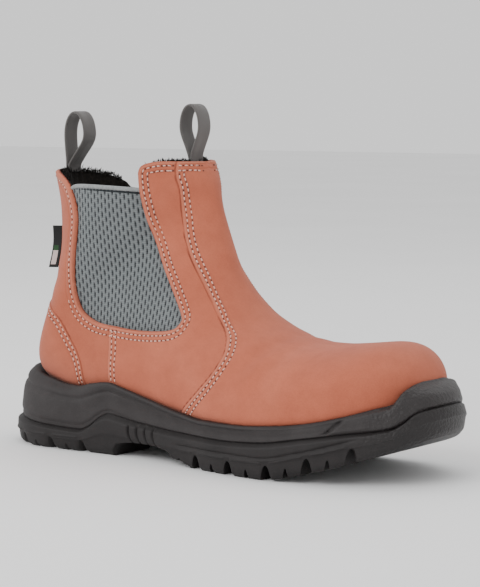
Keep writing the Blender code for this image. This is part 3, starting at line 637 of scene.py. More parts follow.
def array_object(name, points, faces, material, smooth=True):
    """A riding object from arrays of points and faces."""
    mesh = bpy.data.meshes.new(name)
    mesh.from_pydata(place(points).tolist(), [], [list(map(int, f)) for f in faces])
    mesh.update()
    if smooth:
        mesh.shade_smooth()
    return dress(name, mesh, material)


def ring_object(name, rings, material, smooth=True):
    """A closed piece of equal rings, with flat ends."""
    rings = np.asarray(rings)
    count = rings.shape[1]
    faces = grid_faces(len(rings), count, True).tolist()
    faces += [list(range(count))[::-1], [(len(rings) - 1) * count + i for i in range(count)]]
    return array_object(name, rings.reshape(-1, 3), faces, material, smooth)


def point_values(obj, key, values):
    """Gives each point of the object's mesh a number for its material."""
    layer = obj.data.attributes.new(key, "FLOAT", "POINT")
    layer.data.foreach_set("value", np.asarray(values).astype(np.float32))


def side_y(x, z, side, grow):
    """y of the let-out last on the outer (-1) or inner (1) side."""
    return reach_across(x, z, grow)[0 if side < 0 else 1]


def edge_curves():
    """Every panel edge as points on both sides of the boot, by name."""
    curves = {}
    tables = {"window": [(x, COLLAR_REAR_Z) for x in np.linspace(0.0, 0.02, 8)]
              + TAB_LINE
              + [(x, COLLAR_FRONT_Z) for x in np.linspace(0.121, 0.16, 20)],
              "vamp": VAMP_LINE, "counter": COUNTER_LINE,
              "quarter": [(QUARTER_EDGE_X, z) for z in np.linspace(0.070, 0.020, 30)]}
    for name, table in tables.items():
        spots = []
        for side in (-1, 1):
            x, z = dense_line(rear_shift(table) if side > 0 and name == "window" else table, LINE_STEP).T
            lateral, medial, fill = reach_across(x, z, PANEL_STEP)
            spots.append(np.stack([x, lateral if side < 0 else medial, z], axis=1)[fill < 0.999])
        curves[name] = np.concatenate(spots)
    x, lateral, medial = cup_ring(2 * PANEL_STEP, 0.0006)
    curves["lip"] = closed_ring(x, lateral, medial, along(LIP, x) + 0.0006)
    return curves


def run_of(line):
    """Length along the line up to each of its points."""
    return np.concatenate([[0], np.cumsum(np.linalg.norm(np.diff(line, axis=0), axis=1))])


def at_run(line, run, at):
    """Points of the line at the given lengths along it."""
    return np.stack([np.interp(at, run, line[:, 0]), np.interp(at, run, line[:, 1])], axis=1)


def dense_line(line, step):
    """The line's points again, evenly spaced."""
    line = np.asarray(line, float)
    run = run_of(line)
    return at_run(line, run, np.arange(0, run[-1], step))


def nearest(points, spots):
    """Distance in space from each point to the nearest of the spots."""
    tree = kdtree.KDTree(len(spots))
    for i, spot in enumerate(spots):
        tree.insert(spot, i)
    tree.balance()
    return np.array([tree.find(p)[2] for p in points])


def leather(name, grow, edges, keeps, material, depth, own, others):
    """One leather panel: edges are its turned rims, keeps the fields that bound it out of sight,
    own the seams it ends at and others those that press it."""
    bm = form_bmesh(grow)
    for field, level in [(lip_field, 0)] + keeps:
        drop(bm, field, level)
    for field in edges:
        drop(bm, field, -EDGE_MARGIN)
        for level in (0.0, 0.4 * FOLD, FOLD):
            split_along(bm, field, level)
        drop(bm, field)
    points, normals = coordinates(bm)
    near = np.min([field(points) for field in edges], axis=0)
    inward = np.clip(FOLD - near, 0, FOLD)
    fall = FOLD - np.sqrt(np.maximum(FOLD**2 - inward**2, 0))
    points = points + normals * (relief(points) - fall)[:, None]
    layer = bm.verts.layers.float.new("edge")
    # seam: distance to the edges of panels that lie over this one and to the cup's lip, where the material
    # paints shade.
    seam = bm.verts.layers.float.new("seam")
    to_edge = nearest(points, np.concatenate([CURVES[key] for key in own]))
    if name == "leather_backstay":
        to_edge = np.minimum(to_edge, np.maximum(near, 0))
    to_shaded_seam = nearest(points, np.concatenate([CURVES[key] for key in others + ["lip"]]))
    for vert, point, value, other in zip(bm.verts, points, to_edge, to_shaded_seam):
        vert.co = point
        vert[layer] = value
        vert[seam] = other
    rim = [e for e in bm.edges if e.is_boundary]
    twins = {}
    for edge in rim:
        for vert in edge.verts:
            if vert not in twins:
                twins[vert] = bm.verts.new(Vector(points[vert.index] - normals[vert.index] * depth))
                twins[vert][layer] = 0.0
                twins[vert][seam] = 1.0
    for edge in rim:
        loop = edge.link_loops[0]
        a, b = loop.vert, loop.link_loop_next.vert
        bm.faces.new((b, a, twins[a], twins[b]))
    return finish_object(name, bm, material)


# Materials
def srgb(*colour):
    """Linear values of an 8-bit sRGB colour."""
    values = [c / 255 for c in colour]
    return tuple(c / 12.92 if c <= 0.04045 else ((c + 0.055) / 1.055)**2.4 for c in values) + (1.0,)


def grey(value):
    """A neutral colour."""
    return (value, value, value, 1)


class Nodes:
    """Short calls for building a material's nodes."""

    def __init__(self, name, roughness, **sockets):
        self.material = bpy.data.materials.new(name)
        self.material.use_nodes = True
        self.tree = self.material.node_tree
        self.shader = self.tree.nodes["Principled BSDF"]
        self.shader.inputs["Roughness"].default_value = roughness
        for key, value in sockets.items():
            self.shader.inputs[key.replace("_", " ")].default_value = value
        self.where = self.add("TexCoord").outputs["Object"]

    def add(self, kind, **values):
        node = self.tree.nodes.new("ShaderNode" + kind)
        for key, value in values.items():
            setattr(node, key, value)
        return node

    def feed(self, socket, value):
        """Sets a plain value on the socket, or links another node's output to it."""
        if isinstance(value, (int, float, tuple)):
            socket.default_value = value
        elif value is not None:
            self.tree.links.new(value, socket)

    def noise(self, scale, detail, rough=0.55):
        node = self.add("TexNoise")
        for key, value in (("Scale", scale), ("Detail", detail), ("Roughness", rough),
                           ("Vector", self.where)):
            self.feed(node.inputs[key], value)
        return node.outputs["Fac"]

    def ramp(self, value, *stops, steps="LINEAR"):
        node = self.add("ValToRGB")
        node.color_ramp.interpolation = steps
        items = node.color_ramp.elements
        while len(items) < len(stops):
            items.new(0.5)
        for item, (at, colour) in zip(items, stops):
            item.position = at
            item.color = colour
        self.feed(node.inputs["Fac"], value)
        return node.outputs["Color"]

    def math(self, operation, *values):
        node = self.add("Math", operation=operation)
        for socket, value in zip(node.inputs, values):
            self.feed(socket, value)
        return node.outputs[0]

    def sum(self, a, b):
        return self.math("ADD", a, b)

    def less(self, a, b):
        return self.math("SUBTRACT", a, b)

    def times(self, a, b):
        return self.math("MULTIPLY", a, b)

    def mix(self, factor, a, b, blend="MULTIPLY"):
        node = self.add("Mix", data_type="RGBA", blend_type=blend)
        for key, value in ((0, factor), (6, a), (7, b)):
            self.feed(node.inputs[key], value)
        return node.outputs[2]

    def bump(self, height, size, strength, after=None):
        node = self.add("Bump")
        for key, value in (("Distance", size), ("Strength", strength), ("Height", height), ("Normal", after)):
            self.feed(node.inputs[key], value)
        return node.outputs["Normal"]

    def axes(self):
        node = self.add("SeparateXYZ")
        self.feed(node.inputs[0], self.where)
        return node.outputs

    def attribute(self, name):
        return self.add("Attribute", attribute_name=name).outputs["Fac"]

    def close(self, colour, normal=None, roughness=None):
        for key, value in (("Base Color", colour), ("Normal", normal), ("Roughness", roughness)):
            self.feed(self.shader.inputs[key], value)
        return self.material


def nubuck(name, shade_factor=1.0):
    """Napped leather: a paler band in from its edges, partly wear and partly a painted highlight; a darker
    line on its own edges; painted shade beside the seams and the cup's lip that lie over it; and, where
    asked, a darker copy as painted shade for the rear panels.
    """
    n = Nodes(name, 0.90, Sheen_Weight=0.08, Sheen_Roughness=0.5, Specular_IOR_Level=0.18)
    colour = n.ramp(n.noise(30, 4), (0.30, (0.402, 0.106, 0.058, 1)), (0.5, (0.437, 0.119, 0.066, 1)),
                    (0.72, (0.474, 0.136, 0.077, 1)))
    cloud = n.ramp(n.noise(140, 5, 0.6), (0.35, (0.93, 0.92, 0.92, 1)), (0.65, grey(1.05)))
    colour = n.mix(0.7, colour, cloud)
    speck = n.ramp(n.noise(1500, 2), (0.36, (0.88, 0.86, 0.86, 1)), (0.58, grey(1.04)))
    colour = n.mix(0.45, colour, speck)
    edge, seam = n.attribute("edge"), n.attribute("seam")
    # A paler band about 1.4 mm in from the panel's own edges: partly wear, partly a painted highlight.
    wear_and_highlight = n.less(1.0, n.times(n.math("ABSOLUTE", n.less(edge, 0.0014)), 1100))
    wear_and_highlight = n.times(n.math("MAXIMUM", wear_and_highlight, 0.0), 0.28)
    colour = n.mix(wear_and_highlight, colour, (0.66, 0.27, 0.18, 1), "MIX")
    # Darker within 0.7 mm of the panel's own edges. Painted shade within 0.9 mm of the seam lines, where
    # another panel's edge or the cup's lip lies over this leather.
    for value, reach, deep in ((edge, 0.0007, (0.34, 0.24, 0.22, 1)), (seam, 0.0009, (0.30, 0.20, 0.18, 1))):
        dark = n.ramp(n.math("DIVIDE", value, reach), (0.30, deep), (1.0, grey(1)))
        colour = n.mix(1.0, colour, dark)
    # A darker copy of the colour: painted shade for the rear panels.
    if shade_factor != 1.0:
        colour = n.mix(1.0, colour, grey(shade_factor))
    normal = n.bump(n.noise(420, 5), 0.0008, 0.16, n.bump(n.noise(2600, 3), 0.0003, 0.30))
    for at in ROWS_AT:
        row = n.less(edge, at)
        row = n.times(n.times(row, row), -1.0 / (2 * 0.00050**2))
        normal = n.bump(n.times(n.math("EXPONENT", row), -1.0), 0.0009, 0.5, normal)
    return n.close(colour, normal)


def rubber(name, light):
    """Matt moulded rubber, a little shinier and rougher in relief at the toe."""
    n = Nodes(name, 0.62, Specular_IOR_Level=0.38)
    dust = n.ramp(n.noise(60, 5, 0.6), (0.3, srgb(38 + light, 34 + light, 34 + light)),
                  (0.7, srgb(49 + light, 45 + light, 45 + light)))
    colour = n.mix(0.6, dust, n.ramp(n.noise(1400, 3), (0.35, grey(0.78)), (0.65, grey(1.18))))
    toe = n.ramp(n.times(n.sum(n.axes()[0], -0.104), 70.0), (0.0, grey(0)), (1.0, grey(1)))
    fine = n.bump(n.noise(1100, 4), 0.0005, 0.35)
    normal = n.bump(n.times(n.noise(640, 2), toe), 0.0016, 0.6, fine)
    return n.close(colour, normal, n.less(0.66, n.times(toe, 0.20)))


def gore_material():
    """Elastic weave: pale ribs, dark dashes between them and fine thread across."""
    n = Nodes("gore_elastic_rib", 0.85, Sheen_Weight=0.2, Sheen_Roughness=0.5, Specular_IOR_Level=0.2)
    x, _, z = n.axes()
    thread = n.math("SINE", n.sum(n.times(z, 2 * math.pi / 0.00105), n.times(x, 2 * math.pi / 0.0092)))
    lit = n.sum(n.times(n.attribute("rib"), 0.85), n.times(thread, 0.10))
    colour = n.ramp(lit, (0.05, srgb(22, 26, 29)), (0.45, srgb(76, 80, 82)), (0.90, srgb(116, 121, 122)))
    colour = n.mix(0.4, colour, n.ramp(n.noise(70, 3), (0.3, grey(0.85)), (0.7, grey(1.08))))
    return n.close(colour, n.bump(thread, 0.0002, 0.5))


def cloth(name, dark, pale, scale, rough=0.9, sheen=0.2):
    n = Nodes(name, rough, Sheen_Weight=sheen, Sheen_Roughness=0.4, Specular_IOR_Level=0.2)
    colour = n.ramp(n.noise(scale, 4, 0.6), (0.32, srgb(*dark)), (0.68, srgb(*pale)))
    return n.close(colour, n.bump(n.noise(scale * 2, 4), 0.0006, 0.6))


def webbing_material():
    """Woven tape with a twill and darker selvedges."""
    n = Nodes("loop_webbing_weave", 0.8, Sheen_Weight=0.2, Sheen_Roughness=0.4, Specular_IOR_Level=0.25)
    across = n.math("ABSOLUTE", n.attribute("across"))
    twill = n.math("SINE", n.sum(n.times(n.attribute("along"), 2 * math.pi / 0.0011),
                                 n.times(across, 2 * math.pi / 0.0016)))
    colour = n.ramp(n.sum(n.times(twill, 0.22), 0.5), (0.2, srgb(82, 79, 78)), (0.8, srgb(110, 107, 105)))
    selvedge = n.ramp(n.times(across, 2 / TAPE_WIDTH), (0.84, grey(1)), (0.93, grey(0.86)))
    return n.close(n.mix(1.0, colour, selvedge), n.bump(twill, 0.00018, 0.6))


def tag_material():
    """Black woven tape with a pale and a green bar."""
    n = Nodes("tag_weave_bars", 0.75, Specular_IOR_Level=0.3)
    share = n.times(n.less(n.axes()[2], TAG_Z - TAG_HEIGHT / 2), 1 / TAG_HEIGHT)
    bars = n.ramp(share, (0.0, srgb(24, 26, 25)), (0.07, srgb(190, 176, 172)), (0.40, srgb(32, 66, 38)),
                  (0.52, srgb(22, 24, 24)), steps="CONSTANT")
    out = n.attribute("out")
    inside = n.times(n.math("GREATER_THAN", out, 0.30), n.math("LESS_THAN", out, 0.84))
    return n.close(n.mix(inside, srgb(22, 24, 24), bars, "MIX"), n.bump(n.noise(2200, 2), 0.0002, 0.4))


# Stitches
def slopes_at(x, z, side, grow, h):
    """How y changes along x and along z on one side of the let-out last."""
    return ((side_y(x + h, z, side, grow) - side_y(x - h, z, side, grow)) / (2 * h),
            (side_y(x, z + h, side, grow) - side_y(x, z - h, side, grow)) / (2 * h))


def surface_frame(x, z, side, grow):
    """Points of one side of the let-out last and their outward normals."""
    gx, gz = slopes_at(x, z, side, grow, 0.0004)
    normal = unit_rows(np.stack([-side * gx, np.full_like(x, side), -side * gz], axis=1))
    return np.stack([x, side_y(x, z, side, grow), z], axis=1), normal


def offset_line(path, gap, side=-1):
    """The side-view line moved along the boot's surface by gap to its right-hand side."""
    path = dense_line(path, STITCH_STEP)
    tangent = unit_rows(np.gradient(path, axis=0))
    across = np.stack([tangent[:, 1], -tangent[:, 0]], axis=1)
    x, z = (path + across * gap * 0.5).T
    gx, gz = slopes_at(x, z, side, 0.0, 0.0005)
    slope = across[:, 0] * gx + across[:, 1] * gz
    shrink = np.sqrt(np.maximum(1 - slope**2 / (1 + gx**2 + gz**2), 0.04))
    soften(shrink, 12)
    moved = path + across * (gap * shrink)[:, None]
    return moved[distance(moved, path) > abs(gap) * shrink * 0.97]


def stitch_row(beads, holes, line, side, grow, keep=None):
    """Adds the stitches, and the dark beads painted as shade in their needle holes, along a side-view line on
    one side of the boot.
    """
    x, z = dense_line(line, STITCH_STEP).T
    good = (reach_across(x, z, grow)[2] < 0.995) & (z > along(LIP, x) + 0.0008)
    if keep is not None:
        good &= keep(np.stack([x, np.full_like(x, side), z], axis=1))
    x, z = x[good], z[good]
    if len(x) < 8:
        return
    points, normals = surface_frame(x, z, side, grow)
    points = points + normals * relief(points)[:, None]
    run = run_of(points)
    breaks = np.concatenate([[0], np.cumsum(np.diff(run) > 0.004)])
    for at in np.arange(STITCH_PITCH / 2, run[-1], STITCH_PITCH):
        i = int(np.clip(np.searchsorted(run, at), 2, len(x) - 3))
        if breaks[i - 2] != breaks[i + 2]:
            continue
        tangent = points[i + 2] - points[i - 2]
        tangent /= max(np.linalg.norm(tangent), 1e-9)
        beads.append((points[i], tangent, normals[i]))
        j = int(np.clip(np.searchsorted(run, at + STITCH_PITCH / 2), 0, len(x) - 1))
        holes.append((points[j], tangent, normals[j]))


def bead_mesh(items, length, radius, lift, tilt):
    """Joined small capsules, one for each (point, tangent, normal)."""
    shares = np.array([-1, -0.78, 0, 0.78, 1]) * length / 2
    sizes = np.array([0.35, 0.85, 1.0, 0.85, 0.35]) * radius
    angles = np.arange(6) * math.pi / 3
    points, faces = [], []
    wall = grid_faces(len(shares), len(angles), True)
    for point, tangent, normal in items:
        across = np.cross(normal, tangent)
        across /= max(np.linalg.norm(across), 1e-9)
        tangent = tangent + across * RNG.normal(0, tilt)
        start = len(points)
        for share, size in zip(shares, sizes):
            arch = lift * (1 - (share / length * 2)**2) - radius * 0.25
            for angle in angles:
                points.append(point + tangent * share + normal * (arch + size * math.sin(angle))
                              + across * size * math.cos(angle))
        faces += (wall + start).tolist()
        faces += [[start + i for i in range(6)][::-1], [start + 24 + i for i in range(6)]]
    return np.array(points), faces


def make_stitches(thread, needle):
    """Both rows of stitches along every seam, and dark beads as painted shade in their needle holes."""
    beads, holes = [], []
    window = TAB_LINE + [(x, COLLAR_FRONT_Z) for x in np.linspace(0.121, 0.160, 40)]
    for side in (-1, 1):
        shifted = window if side < 0 else rear_shift(window)
        for order, gap in enumerate(ROWS_AT):
            row = offset_line(shifted, gap, side)
            rear = row[(row[:, 0] < QUARTER_EDGE_X) & ((row[:, 1] < 0.085) | (order == 0))]
            front = row[row[:, 0] >= QUARTER_EDGE_X]
            stitch_row(beads, holes, rear, side, 0.0)
            stitch_row(beads, holes, front, side, PANEL_STEP, lambda p: vamp_field(p) < -0.0005)
            stitch_row(beads, holes, front, side, 2 * PANEL_STEP, lambda p: vamp_field(p) > 0.0005)
            stitch_row(beads, holes, offset_line(VAMP_LINE[::-1], gap, side), side, 2 * PANEL_STEP,
                       lambda p: (window_field(p) > 0.001) & (p[:, 2] < COLLAR_FRONT_Z - 0.0065))
            seam = offset_line([(QUARTER_EDGE_X, 0.0250), (QUARTER_EDGE_X, 0.0700)], gap, side)
            stitch_row(beads, holes, seam, side, PANEL_STEP, lambda p: window_field(p) > 0.002)
            stitch_row(beads, holes, offset_line(COUNTER_LINE, gap - 0.001, side), side, PANEL_STEP)
    points, faces = bead_mesh(beads, STITCH_LENGTH, STITCH_RADIUS, 0.00022, 0.10)
    array_object("stitches", points, faces, thread)
    # Dark beads between the stitches: painted shade in the needle holes.
    points, faces = bead_mesh(holes, HOLE_LENGTH, HOLE_RADIUS, 0.00008, 0.0)
    array_object("needle_hole_shadows", points, faces, needle)


# Gores, binding and lining
def gore_top(x, side):
    """Height of the gore's top edge: bowed on the outer side, slack on the inner side."""
    if side > 0:
        share = clamp((x - 0.0420) / 0.0620)
        return GORE_TOP_Z - 0.0058 * np.sin(math.pi * share) ** 0.5
    share = clamp((x - 0.0545) / 0.0490)
    return GORE_TOP_Z + 0.0002 - 0.0028 * np.exp(-clamp(x - 0.0545) / 0.0035) - 0.0018 * share**2


def make_gore(name, side, material, binding, binding_shadow_line):
    """A ribbed elastic panel that replaces its CAD node, with the rolled binding along its top and a thin
    dark tube under it as a painted shadow line.
    """
    low = -WALL - GAP - GORE_THICKNESS * 0.5
    area = np.array(smooth_path(WINDOW if side < 0 else rear_shift(WINDOW), 3))
    columns, rows = 330, 136
    x = np.linspace(0.0445 if side > 0 else 0.0525, 0.1390, columns)
    gx, level = np.meshgrid(x, np.linspace(0, 1, rows))
    gz = GORE_FOOT_Z + (gore_top(gx, side) - GORE_FOOT_Z) * level
    u = gx / DASH_PITCH[0]
    v = gz / DASH_PITCH[1] + 0.5 * (np.floor(u) % 2)
    slot = np.exp(-(((u % 1) - 0.5) / 0.21)**2) * clamp(1.55 - np.abs((v % 1) - 0.5) * 3.3)
    rib = 1 - slot
    lateral, medial, fill = reach_across(gx.ravel(), gz.ravel(), low)
    y = (lateral if side < 0 else medial).reshape(gx.shape)
    sag = GORE_SAG * np.sin(math.pi * clamp((gx - x[0]) / (x[-1] - x[0])))
    y = y + side * (rib * RIB_RISE - sag)
    points = np.stack([gx, y, gz], axis=2).reshape(-1, 3)
    faces = grid_faces(rows, columns, False)
    centre = np.stack([gx, gz], axis=2).reshape(-1, 2)[faces].mean(axis=1)
    closed = np.concatenate([area, [[area[-1][0], 0.2], [area[0][0], 0.2]]])
    keep = (within(centre, closed) | (distance(centre, area) < 0.005)) & (fill[faces].max(axis=1) < 0.98)
    faces = faces[keep]
    if side < 0:
        faces = faces[:, ::-1]
    used, index = np.unique(faces, return_inverse=True)
    obj = array_object(name, points[used], index.reshape(-1, 4), material)
    point_values(obj, "rib", rib.ravel()[used])
    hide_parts("gore_lateral" if side < 0 else "gore_medial")
    span = np.linspace((0.0480 if side < 0 else 0.0400), 0.1062, 90)
    height = gore_top(span, side) - 0.0011
    line = np.stack([span, side_y(span, height, side, low), height], axis=1)
    tube(name + "_binding", line, BINDING_RADIUS, 10, binding)
    # A thin dark tube just under the binding: a painted shadow line on the gore.
    line = line + np.array([0, 0, -0.0019])
    line[:, 1] += side * -0.0004
    tube(name + "_shadow_line", line, BINDING_SHADOW_RADIUS, 6, binding_shadow_line)


def tube(name, line, radius, sides, material):
    """A round cord of mesh along a line of points, with closed ends."""
    line = np.asarray(line, float)
    tangent = unit_rows(np.gradient(line, axis=0))
    across = unit_rows(np.cross(tangent, [0.0, 0.0, 1.0]))
    up = np.cross(across, tangent)
    angles = np.arange(sides) * 2 * math.pi / sides
    around = (np.cos(angles)[None, :, None] * across[:, None]
              + np.sin(angles)[None, :, None] * up[:, None])
    return ring_object(name, line[:, None] + radius * around, material)


def make_lining(material):
    """The dark pile inside the boot, with tufts along the collar."""
    def covered(points):
        return np.maximum(window_field(points, LINING_SHIFT) - 0.0008, GORE_TOP_Z - 0.0095 - points[:, 2])
    bm = form_bmesh(-LINING_IN, 150, 200)
    drop(bm, lambda p: p[:, 2] - LINING_FOOT_Z)
    drop(bm, lambda p: LINING_FRONT_X - p[:, 0])
    split_along(bm, covered)
    drop(bm, covered)
    points, normals = coordinates(bm)
    bumps = np.clip(RNG.normal(0, 0.00045, len(points)), -0.0012, 0.0001) - 0.0004
    for vert, point in zip(bm.verts, points + normals * bumps[:, None]):
        vert.co = point
    rim = [v for v in bm.verts if v.is_boundary and v.co.z > GORE_TOP_Z + 0.001]
    tufts, faces = [], []
    for vert in rim:
        for _ in range(TUFTS_EACH):
            base = np.array(vert.co) + RNG.normal(0, 0.0007, 3)
            lean = np.array([RNG.normal(0, 0.30), RNG.normal(0, 0.30) + 0.25 * np.sign(base[1]), 1.0])
            tip = base + lean * RNG.uniform(0.0008, 0.0021)
            wide = RNG.normal(0, 1, 3)
            wide *= 0.00042 / np.linalg.norm(wide)
            deep = np.cross(wide, lean) * 0.8
            start = len(tufts)
            tufts += [base - wide, base + wide, base + deep, tip]
            faces += [(start, start + 1, start + 3), (start + 1, start + 2, start + 3),
                      (start + 2, start, start + 3), (start, start + 2, start + 1)]
    bmesh.ops.reverse_faces(bm, faces=bm.faces)
    obj = finish_object("pile_lining", bm, material)
    solid = obj.modifiers.new("thickness", "SOLIDIFY")
    solid.thickness = 0.0006
    solid.offset = -1
    array_object("pile_tufts", np.array(tufts), faces, material, False)


# Sole
def sole_stations():
    """Shares of the sole's length: close at both ends and beside every gap and rib."""
    share = 0.5 - 0.5 * np.cos(np.linspace(0, math.pi, 300))
    extra = []
    for x in HEEL_GAPS + FOREFOOT_GAPS:
        for half in (0.0004, 0.0010, 0.0016, 0.0022, 0.0027, 0.0031):
            extra += [(x - half) / SOLE_LENGTH, (x + half) / SOLE_LENGTH]
    extra += [x / SOLE_LENGTH for x in np.arange(0.0970, 0.1270, 0.0004)]
    for x in SLITS:
        extra += [(x + d) / SOLE_LENGTH for d in (-0.0014, -0.0010, -0.0005, 0.0, 0.0005, 0.0010, 0.0014)]
    return np.unique(np.round(np.concatenate([share, extra]), 6))


SHARES = sole_stations()


def plan_ring(outset):
    """x, lateral and medial y of the sole's outline, let out by outset."""
    x = -outset + (SOLE_LENGTH + 2 * outset) * SHARES
    ends = rounding(-x, -HEEL_ROUND, outset, HEEL_POWER)
    ends = ends * rounding(x, SOLE_LENGTH - TOE_ROUND, SOLE_LENGTH + outset, TOE_POWER)
    return x, -(along(OUTLINE, x, 1) + outset) * ends, (along(OUTLINE, x, 2) + outset) * ends


def cup_ring(grow, rise):
    """x, lateral and medial y where a line above the lip meets the let-out last."""
    def end(inside, outside):
        for _ in range(SEARCH_STEPS):
            middle = (inside + outside) / 2
            if reach_across(middle, along(LIP, middle) + rise, grow)[2] < 1:
                inside = middle
            else:
                outside = middle
        return inside
    start, stop = end(HEEL_INSIDE_X, BEHIND_X), end(TOE_INSIDE_X, SOLE_LENGTH)
    x = start + (stop - start) * SHARES
    lateral, medial, _ = reach_across(x, along(LIP, x) + rise, grow)
    return x, lateral, medial


def closed_ring(x, lateral, medial, z):
    """The outer line and then the inner one backwards, as one ring."""
    outer = np.stack([x, lateral, z], axis=1)
    return np.concatenate([outer, np.stack([x, medial, z], axis=1)[1:-1][::-1]])


def push(ring, amount):
    """Moves a closed ring along its plan normal by amount, which may differ from point to point."""
    tangent = np.roll(ring, -1, axis=0) - np.roll(ring, 1, axis=0)
    normal = unit_rows(np.stack([-tangent[:, 1], tangent[:, 0], np.zeros(len(ring))], axis=1))
    if np.mean(np.sign(((ring - [0.13, 0.0, 0.0]) * normal).sum(axis=1))) < 0:
        normal = -normal
    return ring + normal * np.asarray(amount)[:, None]


def bell(value, centre, width):
    """1 at the centre, falling softly to 0 on both sides."""
    return np.exp(-((value - centre) / width)**2)


def cup_relief(x, share, z):
    """Grooves and ridges of the cup's wall, outwards positive."""
    heel = clamp((0.105 - x) / 0.02)
    out = -0.0009 * heel * bell(share, 0.74, 0.045)
    out = out - 0.0007 * heel * bell(share, 0.10, 0.05)
    fade = clamp((0.97 - share) / 0.15) * clamp((share - 0.08) / 0.15)
    past = x - (0.2440 + 1.07 * (z - 0.0345))
    out = out - 0.0011 * bell(past, 0.0, 0.0011) * clamp((x - 0.225) / 0.008) * fade
    return out + 0.0007 * clamp((past - 0.0005) / 0.0020) * clamp((0.266 - x) / 0.012) * fade


def make_midsole(material):
    """The cup: its wall as rings from the parting line to the lip, turned in over the leather."""
    rings = []
    lip = cup_ring(RIM, 0.0)
    for share in np.linspace(0, 1, CUP_RINGS):
        plain = plan_ring(float(along(MIDSOLE_WALL, share, 2)))
        lean = float(along(MIDSOLE_WALL, share, 1))
        x, lateral, medial = (p + lean * (q - p) for p, q in zip(plain, lip))
        z = along(PARTING, x) + share * (along(LIP, x) - along(PARTING, x))
        ring = closed_ring(x, lateral, medial, z)
        fade = math.prod(math.sin(math.pi * min(part / 0.06, 1) / 2) for part in (share, 1 - share))
        ring = push(ring, cup_relief(ring[:, 0], share, ring[:, 2]) * fade)
        rings.append(toe_pull(ring, TOE_PULL + 0.0016 * share))
    for grow, rise in ((RIM - 0.0006, 0.0007), (RIM - 0.0016, 0.0010), (RIM - 0.0028, 0.0007),
                       (0.0008, -0.0002), (0.0004, -0.0040)):
        x, lateral, medial = cup_ring(grow, rise)
        rings.append(toe_pull(closed_ring(x, lateral, medial, along(LIP, x) + rise), 0.0040 * (grow / RIM)))
    bottom = plan_ring(-0.0060)
    rings.insert(0, closed_ring(*bottom, along(PARTING, bottom[0]) - 0.0002))
    rings = np.array(rings)
    faces = grid_faces(len(rings), rings.shape[1], True)
    obj = array_object("cup_sole", rings.reshape(-1, 3), faces, material)
    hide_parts("midsole")


def gap_depth(x):
    """0 to 1 inside the rounded gaps between lugs, and inside the slits that part each lug."""
    cuts = ((HEEL_GAPS + FOREFOOT_GAPS, GAP_HALF, 2.4), (SLITS, SLIT_HALF, 2))
    return [np.max([1 - clamp(np.abs(x - centre) / half)**power for centre in centres], axis=0)
            for centres, half, power in cuts]


def toe_pull(ring, amount=TOE_PULL):
    """Draws the toe end of a ring back a little."""
    pull = clamp((ring[:, 0] - TOE_PULL_FROM) / (SOLE_LENGTH - TOE_PULL_FROM))**2 * amount
    return ring - np.stack([pull, 0 * pull, 0 * pull], axis=1)


def tread_relief(ring, share):
    """How far the tread's wall stands out: ridges on the lugs, grooves, ribs and a drawn-in toe."""
    x, z = ring[:, 0], ring[:, 2]
    above = z - along(UNDERSIDE, x)
    gap = gap_depth(x)[0]
    fore = clamp((x - 0.135) / 0.010) * clamp((0.255 - x) / 0.010)
    heel = clamp((0.075 - x) / 0.010)
    solid = 1 - clamp(gap * 1.5)
    out = 0.0006 * fore * solid * bell(above, 0.0092, 0.0005)
    out = out + 0.0004 * heel * solid * bell(above, 0.0082, 0.0005)
    out = out - 0.0008 * fore * bell(above, 0.0116, 0.0007)
    out = out - 0.0010 * gap * clamp(1.0 - above / 0.0095) * (fore + heel)
    down = RIB_Z + 0.0012 - z
    reach = clamp((0.0072 - np.abs(down - 0.0035)) / 0.002)
    bow = 70 * clamp(down)**2
    ribs = np.max([bell(x - centre - bow, 0, 0.0007) * reach for centre in RIB_GROOVES], axis=0)
    return out - 0.0016 * ribs - 0.0016 * clamp((x - 0.262) / 0.02) * clamp((share - 0.55) / 0.35)


def tread_underside(edge, gap, notch, lug, arch, columns=33):
    """The face towards the floor, as a grid from side to side that ends on the wall's lowest ring."""
    x, lateral, medial = plan_ring(float(OUTSOLE_WALL[0][2]))
    y = lateral[:, None] + (medial - lateral)[:, None] * np.linspace(0, 1, columns)[None]
    inset = np.minimum(y + along(OUTLINE, x, 1)[:, None], along(OUTLINE, x, 2)[:, None] - y)
    side = clamp((LUG_REACH + LUG_RAMP - inset) / LUG_RAMP)
    height = gap[:, None] * (GROOVE_DEPTH + side * (lug[:, None] - GROOVE_DEPTH))
    height = np.maximum(height, notch[:, None] * side)
    channel = clamp((CHANNEL_HALF + 0.0008 - np.abs(y)) / 0.0008) * CHANNEL_DEPTH
    channel = channel * ((x > CHANNEL_X[0]) & (x < CHANNEL_X[1]))[:, None]
    channel[:, [0, -1]] = 0
    height = np.maximum(np.maximum(height, arch[:, None]), channel)
    z = along(UNDERSIDE, x)[:, None] + height
    under = np.stack([np.broadcast_to(x[:, None], y.shape), y, z], axis=2).reshape(-1, 3)
    count = len(x)
    under = toe_pull(under).reshape(count, columns, 3)
    under[:, 0] = edge[:count]
    under[1:-1, -1] = edge[count:][::-1]
    under[0, -1], under[-1, -1] = edge[0], edge[count - 1]
    return under


